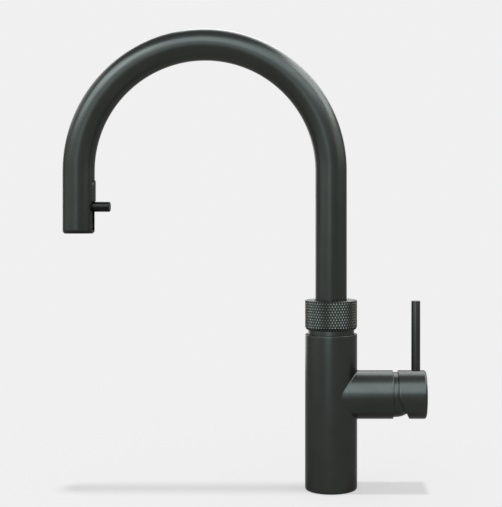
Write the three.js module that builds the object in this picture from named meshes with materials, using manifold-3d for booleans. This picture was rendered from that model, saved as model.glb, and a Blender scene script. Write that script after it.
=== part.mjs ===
// Deck-mounted boiling water tap with a pull-out outlet, in millimetres.
// The origin is on the worktop, at the centre of the tap hole. +Z is up, the spout reaches towards -X,
// the mixer arm points towards +X and the user stands on the -Y side.

import * as THREE from 'three';
import { mergeVertices } from 'three/addons/utils/BufferGeometryUtils.js';
import Module from 'manifold-3d';

const wasm = await Module();
wasm.setup();

// ---- Driving dimensions ----------------------------------------------------------------------------
// r is a radius throughout. Heights are above the worktop and places along X are from the column's axis.

const seat_gap = 0.3; // between pieces that sit fast on each other
const slide_gap = 0.4; // between pieces that slide or turn on each other
const groove_gap = 0.1; // above and below a clip in its groove
const cut_margin = 1; // how far a cutting shape reaches past what it cuts

// spout tube and what runs inside it
const spout_r = 14;
const spout_wall = 1.5;
const spout_reach = 224.7;
const arc_z = 282.2; // height of the swan neck's arc centre
const outlet_drop = 53.4; // from there to the end of the spout tube
const insert_wall = 0.4; // least wall of an insert, outside the boiling water tube
const tube_web = 0.3; // between the hose's hole and the boiling water tube's
const hose_wall = 1.7;
const boiling_r = 2.5;
const boiling_wall = 0.9;
const tube_seat = 1; // how far the boiling water tube stands clear of its plugs' outer faces
const facet_gap = 0.2; // more room for the plugs in the spout's bore, which has few sides
const spout_foot_height = 14;
const dock_length = 7;
const docking_magnet_length = 3;

// column and mixer arm
const column_wall = 2.4;
const edge_chamfer = 0.5;
const arm_z = 83.3; // height of the mixer arm's axis
const arm_r = 21.4;
const arm_wall = 2.2;
const arm_end = 54.9;

// what holds the tap to the worktop
const gasket_lip = 0.6; // what shows between the worktop and the column
const gasket_depth = 2.2;
const gasket_clearance = 1.4; // around the shank
const base_ring_height = 11.5;
const base_ring_wall = 3.8;
const shank_wall = 2.8;
const shank_length = 52; // below the worktop's surface
const guide_wall = 1.5;
const guide_flange = 1.5;
const guide_depth = 6; // of the hose guide's sleeve inside the shank
const worktop_thickness = 30;
const rubber_washer_r = 28;
const rubber_washer_thickness = 3;
const clamp_washer_r = 27.5;
const clamp_washer_thickness = 2.5;
const lock_nut_width = 46; // across flats
const lock_nut_height = 9;
const pipe_tail = 10; // what stands out of the shank's lower end
const fitting_height = 12;
const fitting_wall = 2.5;
const fitting_drop = 6; // of the boiling water fitting below the hose's end
const riser_tail = 2; // of the boiling water pipe below its fitting

// neck, and the spout's bearing in it
const neck_shown = 4.1; // height of neck between column and ring
const neck_depth = 24.7; // length of the neck inside the column
const hub_wall = 1.8;
const bush_gap = 0.3;
const bush_wall = 1.5;
const bush_length = 7;
const bush_cover = 2; // metal above the upper bush
const bush_inset = 1.5; // of the lower bush from the neck's foot
const o_ring_section_r = 0.8;
const circlip_thickness = 1.2;
const circlip_width = 3.5;
const circlip_groove_depth = 0.8;
const clip_opening = 3;
const swivel_seal_thickness = 1.2;
const swivel_seal_lip = 1.3; // inside the spout's bore
const manifold_lift = 0.8; // above the valve block
const manifold_thickness = 5;
const manifold_groove_depth = 2.8;
const manifold_groove_width = 3.6;
const manifold_seat_depth = 1.8;

// boiling water ring
const ring_wall = 2.4;
const ring_height = 26.2;
const ring_flange = 5.5;
const ring_foot_face = 0.4;
const ring_foot_chamfer = 1.5;
const ring_rim_chamfer = 0.6;
const ring_bore_gap = 1.1; // the dark gap where the spout enters the ring
const press_travel = 3.5;
const carrier_flange = 2.9;
const carrier_skirt_wall = 0.8;
const spring_wire_r = 0.65;
const spring_room = 10.5;
const spring_turns = 3.5;
const ring_clip_thickness = 1.0;
const ring_clip_groove_depth = 0.8;
const magnet_width = 3;
const magnet_depth = 0.9;
const magnet_inset = 0.3;
const magnet_drop = 1.5; // of the magnet's centre below the neck's shoulder
const sensor_depth = 1.6;
const sensor_inset = 0.2;

// pull-out outlet
const slot_width = 9.6;
const peg_r = 4.5;
const peg_height = 21.5; // above the end of the spout tube
const peg_proud = 13.9; // of the spout tube
const peg_chamfer = 0.8;
const peg_stud_r = 2;
const peg_stud_length = 5;
const tongue_proud = 0.9;
const nozzle_drop = 2.3; // what shows of the outlet ring below the tube
const chamber_height = 6;
const socket_depth = 12;
const coupling_wall = 1;
const port_seal_r = 2.7;
const port_seal_depth = 1.2;
const port_seal_proud = 0.2;
const keeper_r = 2;
const keeper_length = 2;
const keeper_shift = 0.4; // outwards, clear of the coupling's socket
const aerator_ring_height = 9.7;
const aerator_ring_wall = 2.4;
const aerator_bevel_depth = 1.2;
const aerator_bevel_width = 0.8;
const aerator_chamfer = 0.6;
const aerator_inset = 1.8;
const aerator_thickness = 3;
const aerator_hole_r = 0.9;
const aerator_hole_pitch = 3.2;

// valve block behind the cartridge
const port_r = 2.2;
const port_drop = 6; // ports of cold and hot water below the arm's axis
const port_side = 8.5;
const block_foot = 4; // of the valve block below the arm's bore
const nipple_r = 3.6;
const nipple_bore_r = 1.8;
const nipple_length = 14;
const nipple_step = 0.9;
const nipple_collar_height = 4;
const supply_x = 11.5;
const mixed_x = 13.5;

// mixer
const cartridge_r = 17;
const cartridge_wall = 1.8;
const cartridge_seal_thickness = 0.7;
const cartridge_seal_width = 2.5;
const cartridge_floor = 2.7;
const disc_thickness = 3.5;
const disc_rim = 4;
const driver_thickness = 7;
const driver_floor = 1;
const rotor_flange = 2.3;
const rotor_flange_gap = 0.2;
const rotor_r = 11.6;
const rotor_reach = 3.2; // beyond the lever's pivot
const rotor_slot_room = 2.4;
const nut_thickness = 3.6;
const nut_inset = 5.5; // from the arm's end
const stem_width = 8;
const stem_heel = 0.8;
const stem_neck_r = 2.6;
const stem_ball_r = 3.1;
const stem_pin_r = 1.6;
const stem_pin_gap = 0.2;
const stem_pin_inset = 0.8;
const dome_offset = 1.9; // of the dome's centre, the lever's pivot, beyond the arm's end
const dome_r = 19.8;
const dome_wall = 1.6;
const dome_step = 1;
const dome_reach = 12.5; // from its centre to its open end
const cap_r = 21.4;
const cap_gap = 4.6; // between the arm's end and the cap
const cap_length = 24.8;
const cap_fillet = 2;
const cap_cavity_gap = 0.5; // between the dome and the cap
const cap_cavity_reach = 18.4;
const cap_face = 2.1; // metal left beyond the stem's socket
const lift_deg = 25;
const lever_r = 4;
const lever_place = 15.8; // of the lever's axis from the cap's open end
const lever_foot = 12.5; // above the arm's axis
const lever_length = 70.8;
const grub_screw_r = 2.5;
const grub_screw_place = 5.3; // from the cap's closed end
const grub_screw_inset = 1.2;

// how finely round shapes are faceted
const arc_steps = 24;
const hose_arc_steps = 14;
const coil_steps = 12; // in a turn
const fillet_steps = 3;
const dome_steps = 5;
const spout_sides = 20;
const round_sides = 36; // of what shows
const slim_sides = 28; // of slim pieces that show
const hidden_sides = 20;
const small_sides = 12;
const tongue_sides = 96;

// ---- Places worked out from them -------------------------------------------------------------------

const spout_bore_r = spout_r - spout_wall;
const insert_r = spout_bore_r - seat_gap; // of what fits in the spout
const boiling_hole_r = boiling_r + seat_gap;
const boiling_bore_r = boiling_r - boiling_wall;
const boiling_offset = insert_r - insert_wall - boiling_hole_r; // from the hose's axis
const hose_hole_r = boiling_offset - boiling_hole_r - tube_web;
const hose_r = hose_hole_r - slide_gap;
const hose_bore_r = hose_r - hose_wall;

const guide_bore_r = boiling_offset + boiling_hole_r;
const shank_bore_r = guide_bore_r + guide_wall + seat_gap;
const shank_r = shank_bore_r + shank_wall; // an M33 thread, for a 35 mm tap hole
const core_r = shank_r + seat_gap + base_ring_wall; // of what stands inside the column
const column_bore_r = core_r + seat_gap;
const column_r = column_bore_r + column_wall;
const column_foot = gasket_lip + seat_gap;
const gasket_inner_r = shank_r + gasket_clearance;
const base_ring_foot = gasket_depth + seat_gap;
const base_ring_top = base_ring_foot + base_ring_height;
const shank_foot = -shank_length;
const tail_foot = shank_foot - pipe_tail;
const fitting_top = tail_foot - fitting_drop;
const fitting_foot = fitting_top - fitting_height;

const arm_bore_r = arm_r - arm_wall;
const arm_core_r = arm_bore_r - seat_gap;
const block_foot_z = arm_z - arm_bore_r - block_foot;
const manifold_foot = arm_z + arm_core_r + manifold_lift;
const manifold_top = manifold_foot + manifold_thickness;
const swivel_seal_foot = manifold_top + seat_gap;
const swivel_seal_top = swivel_seal_foot + swivel_seal_thickness;
const spout_foot = swivel_seal_top + seat_gap;
const spout_clip_foot = spout_foot + circlip_thickness;
const spout_clip_top = spout_clip_foot + circlip_thickness;
const spout_groove_r = spout_r - circlip_groove_depth;
const neck_foot = spout_clip_top + seat_gap;
const column_top = neck_foot + neck_depth;

const neck_r = core_r;
const running_bore_r = spout_r + slide_gap;
const hub_r = running_bore_r + hub_wall;
const bush_inner_r = spout_r + bush_gap;
const bush_outer_r = bush_inner_r + bush_wall;
const bush_seat_r = bush_outer_r + seat_gap;

const ring_foot = column_top + neck_shown;
const ring_top = ring_foot + ring_height;
const ring_bore_r = neck_r + slide_gap;
const ring_r = ring_bore_r + ring_wall;
const ring_mouth_r = spout_r + ring_bore_gap;
const ring_flange_foot = ring_top - ring_flange;
const carrier_top = ring_flange_foot - seat_gap;
const carrier_foot = carrier_top - carrier_flange;
const shoulder_z = carrier_foot - spring_room; // where the neck steps in to its hub
const hub_top = carrier_foot - press_travel - slide_gap;
const skirt_foot = shoulder_z + press_travel + slide_gap;
const skirt_inner_r = hub_r + slide_gap;
const skirt_outer_r = skirt_inner_r + carrier_skirt_wall;
const spring_r = skirt_outer_r + 2 * slide_gap + spring_wire_r;
const ring_clip_top = carrier_foot - slide_gap;
const ring_clip_foot = ring_clip_top - ring_clip_thickness;
const ring_groove_r = ring_bore_r + ring_clip_groove_depth;
const magnet_z = shoulder_z - magnet_drop;

const outlet_z = arc_z - outlet_drop;
const dock_top = arc_z - slide_gap;
const dock_foot = dock_top - dock_length;
const nozzle_top = dock_foot - 2 * seat_gap;
const nozzle_foot = outlet_z - nozzle_drop;
const nozzle_body_foot = nozzle_foot + aerator_ring_height + seat_gap;
const chamber_r = insert_r - aerator_ring_wall;
const coupling_r = hose_r + coupling_wall;
const coupling_foot = nozzle_top - socket_depth + seat_gap;
const coupling_top = nozzle_top - seat_gap;
const slot_half = slot_width / 2;
const tongue_half = slot_half - seat_gap;
const slot_arc_z = nozzle_top - slot_half;
const peg_z = outlet_z + peg_height;
const peg_end = spout_r + peg_proud;
const peg_stud_end = insert_r - peg_stud_length;
const keeper_x = boiling_offset + keeper_shift;

const nut_top = arm_end - nut_inset;
const nut_foot = nut_top - nut_thickness;
const housing_top = nut_foot - seat_gap;
const rotor_flange_top = housing_top - rotor_flange_gap;
const rotor_foot = rotor_flange_top - rotor_flange;
const driver_top = rotor_foot - seat_gap;
const driver_foot = driver_top - driver_thickness;
const moving_disc_top = driver_foot - seat_gap;
const moving_disc_foot = moving_disc_top - disc_thickness;
const fixed_disc_top = moving_disc_foot - seat_gap;
const fixed_disc_foot = fixed_disc_top - disc_thickness;
const cartridge_x = fixed_disc_foot - seat_gap - cartridge_floor;
const cartridge_seal_x = cartridge_x - seat_gap - cartridge_seal_thickness;
const block_face = cartridge_seal_x - seat_gap;
const housing_bore_r = cartridge_r - cartridge_wall;
const dome_x = arm_end + dome_offset;
const rotor_end = dome_x + rotor_reach;
const ball_x = driver_foot + driver_floor + seat_gap + stem_ball_r;
const disc_travel = (dome_x - ball_x) * Math.sin(THREE.MathUtils.degToRad(lift_deg));
const moving_disc_r = housing_bore_r - disc_travel / 2 - slide_gap;

// places in the lever, from its pivot
const dome_start = seat_gap - dome_offset;
const cap_start = cap_gap - dome_offset;
const cap_end = cap_start + cap_length;
const lever_x = cap_start + lever_place;
const grub_screw_x = cap_end - grub_screw_place;
const socket_end = cap_end - cap_face;

// ---- Materials -------------------------------------------------------------------------------------

function material(color, roughness, metalness) {
  return new THREE.MeshStandardMaterial({ color, roughness, metalness });
}

const gunmetal = material(0x3c3f3e, 0.38, 1.0);
const knurled_metal = material(0x474948, 0.34, 1.0);
const black_plastic = material(0x141414, 0.45, 0.0);
const white_plastic = material(0xd9d6cd, 0.5, 0.0);
const rubber = material(0x1a1a1a, 0.8, 0.0);
const brass = material(0xb5924c, 0.35, 1.0);
const steel = material(0xb4b6b8, 0.3, 1.0);
const copper = material(0xb8734c, 0.35, 1.0);
const ceramic = material(0xe8e6df, 0.25, 0.0);
const hose_braid = material(0x3a3a3c, 0.6, 0.2);

// ---- Solids ----------------------------------------------------------------------------------------

// A closed geometry as a solid, with its shared corners merged and its faces pointing out.
function solid(geometry) {
  const bare = geometry.index ? geometry.toNonIndexed() : geometry.clone();
  bare.deleteAttribute('normal');
  bare.deleteAttribute('uv');
  const merged = mergeVertices(bare, 1e-4);
  const places = merged.attributes.position.array;
  const corners = merged.index.array;
  const kept = [];
  let volume = 0;
  const a = new THREE.Vector3();
  const b = new THREE.Vector3();
  const c = new THREE.Vector3();
  for (let i = 0; i < corners.length; i += 3) {
    const [p, q, r] = [corners[i], corners[i + 1], corners[i + 2]];
    if (p === q || q === r || r === p) continue;
    kept.push(p, q, r);
    a.fromArray(places, 3 * p);
    b.fromArray(places, 3 * q);
    c.fromArray(places, 3 * r);
    volume += a.dot(b.cross(c));
  }
  if (volume < 0) kept.reverse();
  return new wasm.Manifold(
    new wasm.Mesh({
      numProp: 3,
      vertProperties: new Float32Array(places),
      triVerts: new Uint32Array(kept),
    }),
  );
}

function geometry_of(shape) {
  const mesh = shape.getMesh();
  const geometry = new THREE.BufferGeometry();
  geometry.setAttribute('position', new THREE.BufferAttribute(mesh.vertProperties, 3));
  geometry.setIndex(new THREE.BufferAttribute(mesh.triVerts, 1));
  geometry.computeVertexNormals();
  return geometry;
}

function piece(name, shape, finish) {
  const mesh = new THREE.Mesh(geometry_of(shape), finish);
  mesh.name = name;
  return mesh;
}

// A solid turned about Z from a closed outline of [radius, height] corners.
function turned(outline, sides = round_sides) {
  const corners = [...outline, outline[0]].map(([r, z]) => new THREE.Vector2(r, z));
  return solid(new THREE.LatheGeometry(corners, sides).rotateX(Math.PI / 2));
}

function collar(inner_r, outer_r, foot, top, sides = hidden_sides) {
  return turned([[inner_r, foot], [outer_r, foot], [outer_r, top], [inner_r, top]], sides);
}

function rod(r, foot, top, sides = small_sides) {
  const shape = new THREE.CylinderGeometry(r, r, top - foot, sides);
  return solid(shape.rotateX(Math.PI / 2).translate(0, 0, (foot + top) / 2));
}

// A rod that lies across, along Y, through the origin.
function cross_rod(r, length) {
  return solid(new THREE.CylinderGeometry(r, r, length, small_sides));
}

// A hexagonal nut, with its corners at corner_r.
function hex_nut(corner_r, bore_r, foot, top) {
  return rod(corner_r, foot, top, 6).subtract(rod(bore_r, foot - cut_margin, top + cut_margin, hidden_sides));
}

function block(x0, x1, y0, y1, z0, z1) {
  const shape = new THREE.BoxGeometry(x1 - x0, y1 - y0, z1 - z0);
  return solid(shape.translate((x0 + x1) / 2, (y0 + y1) / 2, (z0 + z1) / 2));
}

function ball(r, sides) {
  return solid(new THREE.SphereGeometry(r, sides, Math.round(sides / 2)).rotateX(Math.PI / 2));
}

function moved(shape, x, y, z) {
  return shape.translate([x, y, z]);
}

// Turns a solid about Z so that it lies about X instead: what pointed to +Z points to +X.
function laid_along_x(shape) {
  return shape.rotate([0, 90, 0]);
}

// A split ring about Z, open towards +X.
function split_ring(inner_r, outer_r, foot, top) {
  const opening = block(0, outer_r + cut_margin, -clip_opening / 2, clip_opening / 2,
    foot - cut_margin, top + cut_margin);
  return collar(inner_r, outer_r, foot, top).subtract(opening);
}

// An O-ring about Z, with a section of a few sides.
function o_ring(r, z, section_r, points = 6) {
  return turned(Array.from({ length: points }, (_, i) => {
    const angle = (i / points) * 2 * Math.PI;
    return [r + section_r * Math.cos(angle), z + section_r * Math.sin(angle)];
  }), hidden_sides);
}

// A route made of stations, each with its point and direction, that an extrusion steps through.
class Route extends THREE.Curve {
  constructor(stations) {
    super();
    this.stations = stations;
  }
  station(u) {
    return this.stations[Math.round(u * (this.stations.length - 1))];
  }
  getPoint(t, target = new THREE.Vector3()) {
    return target.copy(this.station(t).point);
  }
  getPointAt(u, target = new THREE.Vector3()) {
    return target.copy(this.station(u).point);
  }
  getTangentAt(u, target = new THREE.Vector3()) {
    return target.copy(this.station(u).direction);
  }
}

// The swan neck's route: up from foot, over the arc and down to end. offset is how far it runs outside
// the spout's own centreline.
function swan_neck(foot, end, offset, steps) {
  const stations = [];
  const arc_r = spout_reach / 2;
  const radius = arc_r + offset;
  if (foot < arc_z) {
    stations.push({ point: new THREE.Vector3(offset, 0, foot), direction: new THREE.Vector3(0, 0, 1) });
  }
  for (let i = 0; i <= steps; i++) {
    const angle = (i / steps) * Math.PI;
    stations.push({
      point: new THREE.Vector3(radius * Math.cos(angle) - arc_r, 0, arc_z + radius * Math.sin(angle)),
      direction: new THREE.Vector3(-Math.sin(angle), 0, Math.cos(angle)),
    });
  }
  if (end < arc_z) {
    stations.push({
      point: new THREE.Vector3(-spout_reach - offset, 0, end),
      direction: new THREE.Vector3(0, 0, -1),
    });
  }
  return new Route(stations);
}

function circle_points(r, sides) {
  return Array.from({ length: sides }, (_, i) => {
    const angle = (i / sides) * 2 * Math.PI;
    return new THREE.Vector2(r * Math.cos(angle), r * Math.sin(angle));
  });
}

function pipe_along(route, r, bore_r, sides) {
  const section = new THREE.Shape(circle_points(r, sides));
  section.holes.push(new THREE.Path(circle_points(bore_r, sides).reverse()));
  return solid(
    new THREE.ExtrudeGeometry(section, { steps: route.stations.length - 1, extrudePath: route }),
  );
}

// A round wire coiled about Z, from foot to top.
function coil(r, wire_r, foot, top, turns) {
  const steps = Math.round(turns * coil_steps);
  const rise = (top - foot) / (2 * Math.PI * turns);
  const stations = Array.from({ length: steps + 1 }, (_, i) => {
    const angle = (i / steps) * turns * 2 * Math.PI;
    return {
      point: new THREE.Vector3(r * Math.cos(angle), r * Math.sin(angle), foot + rise * angle),
      direction: new THREE.Vector3(-r * Math.sin(angle), r * Math.cos(angle), rise).normalize(),
    };
  });
  const section = new THREE.Shape(circle_points(wire_r, 5));
  return solid(new THREE.ExtrudeGeometry(section, { steps, extrudePath: new Route(stations) }));
}

// ---- Body and what holds it to the worktop ---------------------------------------------------------

function body_shell() {
  const column = turned([
    [0, column_foot],
    [column_r - edge_chamfer, column_foot],
    [column_r, column_foot + edge_chamfer],
    [column_r, column_top - edge_chamfer],
    [column_r - edge_chamfer, column_top],
    [0, column_top],
  ]);
  const arm = turned([
    [0, 0],
    [arm_r, 0],
    [arm_r, arm_end - edge_chamfer],
    [arm_r - edge_chamfer, arm_end],
    [0, arm_end],
  ]);
  const column_bore = rod(column_bore_r, column_foot - cut_margin, column_top + cut_margin, round_sides);
  const arm_bore = rod(arm_bore_r, 0, arm_end + cut_margin, round_sides);
  return column
    .add(moved(laid_along_x(arm), 0, 0, arm_z))
    .subtract(column_bore)
    .subtract(moved(laid_along_x(arm_bore), 0, 0, arm_z));
}

function base_gasket() {
  return turned([
    [gasket_inner_r, 0],
    [column_r - edge_chamfer, 0],
    [column_r - edge_chamfer, gasket_lip],
    [core_r, gasket_lip],
    [core_r, gasket_depth],
    [gasket_inner_r, gasket_depth],
  ], slim_sides);
}

function hose_guide() {
  const flange_r = shank_r - edge_chamfer;
  const sleeve_r = shank_bore_r - seat_gap;
  const flange_top = shank_foot - seat_gap;
  const flange_foot = flange_top - guide_flange;
  return turned([
    [guide_bore_r, flange_foot],
    [flange_r, flange_foot],
    [flange_r, flange_top],
    [sleeve_r, flange_top],
    [sleeve_r, shank_foot + guide_depth],
    [guide_bore_r, shank_foot + guide_depth],
  ], hidden_sides);
}

function deck_fixing() {
  const group = new THREE.Group();
  const rubber_top = -worktop_thickness;
  const rubber_foot = rubber_top - rubber_washer_thickness;
  const clamp_top = rubber_foot - seat_gap;
  const clamp_foot = clamp_top - clamp_washer_thickness;
  const lock_top = clamp_foot - seat_gap;
  const lock_foot = lock_top - lock_nut_height;
  const lock_corner_r = lock_nut_width / Math.sqrt(3);
  const hole_r = shank_r + seat_gap;
  group.add(
    piece('base_gasket', base_gasket(), rubber),
    piece('base_ring', collar(hole_r, core_r, base_ring_foot, base_ring_top), brass),
    piece('threaded_shank', collar(shank_bore_r, shank_r, shank_foot, base_ring_top), brass),
    piece('rubber_washer', collar(hole_r, rubber_washer_r, rubber_foot, rubber_top), rubber),
    piece('clamp_washer', collar(hole_r, clamp_washer_r, clamp_foot, clamp_top), steel),
    piece('lock_nut', hex_nut(lock_corner_r, hole_r, lock_foot, lock_top), brass),
    piece('hose_guide', hose_guide(), white_plastic),
  );
  return group;
}

// ---- Waterways in the column -----------------------------------------------------------------------

// Where each port of the valve block stands, seen from above, and how far above the arm's axis it turns.
const ports = {
  cold: { x: supply_x, y: -port_side, rise: -port_drop },
  hot: { x: supply_x, y: port_side, rise: -port_drop },
  mixed: { x: mixed_x, y: 0, rise: port_drop },
};

function valve_block() {
  const segment = rod(core_r, block_foot_z, arm_z + arm_core_r, hidden_sides)
    .intersect(block(hose_hole_r, column_r, -column_r, column_r, block_foot_z - cut_margin, column_top));
  const plug = rod(arm_core_r, hose_hole_r, block_face, hidden_sides);
  let shape = segment.add(moved(laid_along_x(plug), 0, 0, arm_z));
  for (const { x, y, rise } of Object.values(ports)) {
    const upright = rod(port_r, block_foot_z - cut_margin, arm_z + rise);
    const level = laid_along_x(rod(port_r, x, block_face + cut_margin));
    shape = shape.subtract(moved(upright, x, y, 0)).subtract(moved(level, 0, y, arm_z + rise));
  }
  return shape;
}

function nipple({ x, y }) {
  const top = block_foot_z - seat_gap;
  const shape = turned([
    [nipple_bore_r, top - nipple_length],
    [nipple_r - nipple_step, top - nipple_length],
    [nipple_r - nipple_step, top - nipple_collar_height],
    [nipple_r, top - nipple_collar_height],
    [nipple_r, top],
    [nipple_bore_r, top],
  ], small_sides);
  return moved(shape, x, y, 0);
}

// Boiling water comes up into the groove, which feeds the spout's tube wherever the spout is turned.
function swivel_manifold() {
  const groove_inner_r = boiling_offset - manifold_groove_width / 2;
  const groove_outer_r = boiling_offset + manifold_groove_width / 2;
  const groove_foot = manifold_top - manifold_groove_depth;
  const disc = turned([
    [hose_hole_r, manifold_foot],
    [core_r, manifold_foot],
    [core_r, manifold_top],
    [groove_outer_r, manifold_top],
    [groove_outer_r, groove_foot],
    [groove_inner_r, groove_foot],
    [groove_inner_r, manifold_top],
    [hose_hole_r, manifold_top],
  ], hidden_sides);
  const inlet_seat = rod(boiling_hole_r, manifold_foot - cut_margin, manifold_foot + manifold_seat_depth);
  const inlet = rod(boiling_bore_r, manifold_foot, manifold_top - cut_margin);
  return disc
    .subtract(moved(inlet_seat, -boiling_offset, 0, 0))
    .subtract(moved(inlet, -boiling_offset, 0, 0));
}

function waterways() {
  const group = new THREE.Group();
  const riser_top = manifold_foot + manifold_seat_depth - seat_gap;
  const riser = collar(boiling_bore_r, boiling_r, fitting_foot - riser_tail, riser_top, small_sides);
  const fitting = hex_nut(boiling_r + fitting_wall, boiling_hole_r, fitting_foot, fitting_top);
  const hose = collar(hose_bore_r, hose_r, tail_foot, manifold_top, small_sides);
  group.add(
    piece('valve_block', valve_block(), brass),
    piece('cold_nipple', nipple(ports.cold), brass),
    piece('hot_nipple', nipple(ports.hot), brass),
    piece('mixed_nipple', nipple(ports.mixed), brass),
    piece('swivel_manifold', swivel_manifold(), brass),
    piece('boiling_riser', moved(riser, -boiling_offset, 0, 0), copper),
    piece('boiling_fitting', moved(fitting, -boiling_offset, 0, 0), brass),
    piece('hose_column_run', hose, hose_braid),
  );
  return group;
}

// ---- Neck, and the spout's bearing in it -----------------------------------------------------------

function neck_sleeve() {
  const seat_top = shoulder_z - bush_cover;
  return turned([
    [bush_seat_r, neck_foot],
    [neck_r, neck_foot],
    [neck_r, shoulder_z],
    [hub_r, shoulder_z],
    [hub_r, hub_top],
    [running_bore_r, hub_top],
    [running_bore_r, seat_top],
    [bush_seat_r, seat_top],
  ]).subtract(sensor_block(seat_gap, cut_margin));
}

// The sensor faces the ring's magnet once the ring is pressed down and turned a quarter. margin widens
// the block into its pocket, and reach takes the pocket out through the neck's surface.
function sensor_block(margin, reach) {
  const half = magnet_width / 2 + margin;
  const z = magnet_z - press_travel;
  const face = neck_r - sensor_inset;
  return block(-face - reach, -face + sensor_depth + margin, -half, half, z - half, z + half);
}

function magnet_block(margin, reach) {
  const half = magnet_width / 2 + margin;
  const face = ring_bore_r + magnet_inset;
  return block(-half, half, face - reach, face + magnet_depth + margin, magnet_z - half, magnet_z + half);
}

function neck_and_bearing() {
  const group = new THREE.Group();
  const upper_top = shoulder_z - bush_cover - seat_gap;
  const upper_foot = upper_top - bush_length;
  const lower_foot = neck_foot + bush_inset;
  const lower_top = lower_foot + bush_length;
  const o_ring_r = bush_inner_r + o_ring_section_r;
  const seal = collar(spout_bore_r - swivel_seal_lip, spout_r, swivel_seal_foot, swivel_seal_top);
  group.add(
    piece('neck_sleeve', neck_sleeve(), gunmetal),
    piece('upper_bush', collar(bush_inner_r, bush_outer_r, upper_foot, upper_top), white_plastic),
    piece('lower_bush', collar(bush_inner_r, bush_outer_r, lower_foot, lower_top), white_plastic),
    piece('neck_o_ring', o_ring(o_ring_r, (upper_foot + lower_top) / 2, o_ring_section_r), rubber),
    piece('swivel_seal', seal, white_plastic),
    piece('ring_sensor', sensor_block(0, 0), black_plastic),
  );
  return group;
}

// ---- Boiling water ring ----------------------------------------------------------------------------

function knurled_ring() {
  const groove_foot = ring_clip_foot - seat_gap;
  const groove_top = ring_clip_top + seat_gap;
  return turned([
    [ring_bore_r, ring_foot],
    [ring_bore_r + ring_foot_face, ring_foot],
    [ring_r, ring_foot + ring_foot_chamfer],
    [ring_r, ring_top - ring_rim_chamfer],
    [ring_r - ring_rim_chamfer, ring_top],
    [ring_mouth_r + ring_rim_chamfer, ring_top],
    [ring_mouth_r, ring_top - ring_rim_chamfer],
    [ring_mouth_r, ring_flange_foot],
    [ring_bore_r, ring_flange_foot],
    [ring_bore_r, groove_top],
    [ring_groove_r, groove_top],
    [ring_groove_r, groove_foot],
    [ring_bore_r, groove_foot],
  ]).subtract(magnet_block(seat_gap, cut_margin));
}

function ring_carrier() {
  return turned([
    [ring_mouth_r, carrier_foot],
    [skirt_inner_r, carrier_foot],
    [skirt_inner_r, skirt_foot],
    [skirt_outer_r, skirt_foot],
    [skirt_outer_r, carrier_foot],
    [neck_r, carrier_foot],
    [neck_r, carrier_top],
    [ring_mouth_r, carrier_top],
  ], hidden_sides);
}

function boiling_ring() {
  const group = new THREE.Group();
  const spring_foot = shoulder_z + seat_gap + spring_wire_r;
  const spring_top = carrier_foot - seat_gap - spring_wire_r;
  const clip_inner_r = spring_r + spring_wire_r + seat_gap;
  const clip = split_ring(clip_inner_r, ring_groove_r - seat_gap, ring_clip_foot, ring_clip_top);
  group.add(
    piece('knurled_ring', knurled_ring(), knurled_metal),
    piece('ring_carrier', ring_carrier(), black_plastic),
    piece('ring_circlip', clip, steel),
    piece('ring_magnet', magnet_block(0, 0), steel),
    piece('return_spring', coil(spring_r, spring_wire_r, spring_foot, spring_top, spring_turns), steel),
  );
  return group;
}

// ---- Spout -----------------------------------------------------------------------------------------

// The outline of the outlet's slot, round at its top, extruded from the outlet's axis towards +X.
function slot_prism(half, foot, arc_centre_z, depth) {
  const outline = new THREE.Shape();
  outline.moveTo(-half, foot);
  outline.lineTo(half, foot);
  outline.lineTo(half, arc_centre_z);
  outline.absarc(0, arc_centre_z, half, 0, Math.PI, false);
  outline.closePath();
  const shape = new THREE.ExtrudeGeometry(outline, { depth, bevelEnabled: false, curveSegments: 12 });
  // the outline's x goes to +Y, its y to +Z and its depth to +X
  shape.applyMatrix4(new THREE.Matrix4().set(0, 0, 1, 0, 1, 0, 0, 0, 0, 1, 0, 0, 0, 0, 0, 1));
  return solid(shape);
}

function spout_tube() {
  const groove = collar(spout_groove_r, spout_r + cut_margin, spout_clip_foot - groove_gap,
    spout_clip_top + groove_gap, spout_sides);
  const slot = slot_prism(slot_half, outlet_z - cut_margin, slot_arc_z, spout_r + cut_margin);
  return pipe_along(swan_neck(spout_foot, outlet_z, 0, arc_steps), spout_r, spout_bore_r, spout_sides)
    .subtract(groove)
    .subtract(moved(slot, -spout_reach, 0, 0));
}

// A plug in the spout's bore, which the hose runs through.
function spout_plug(foot, top) {
  return collar(hose_hole_r, insert_r - facet_gap, foot, top);
}

function spout_foot_plug() {
  const top = spout_foot + spout_foot_height;
  const hole = rod(boiling_hole_r, spout_foot - cut_margin, top + cut_margin);
  return spout_plug(spout_foot, top).subtract(moved(hole, boiling_offset, 0, 0));
}

function docking_sleeve() {
  const port = rod(boiling_hole_r, dock_foot - cut_margin, dock_top + cut_margin);
  const pocket = rod(boiling_hole_r, dock_foot - cut_margin, dock_foot + docking_magnet_length + seat_gap);
  return spout_plug(dock_foot, dock_top)
    .subtract(moved(port, -boiling_offset, 0, 0))
    .subtract(moved(pocket, boiling_offset, 0, 0));
}

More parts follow.
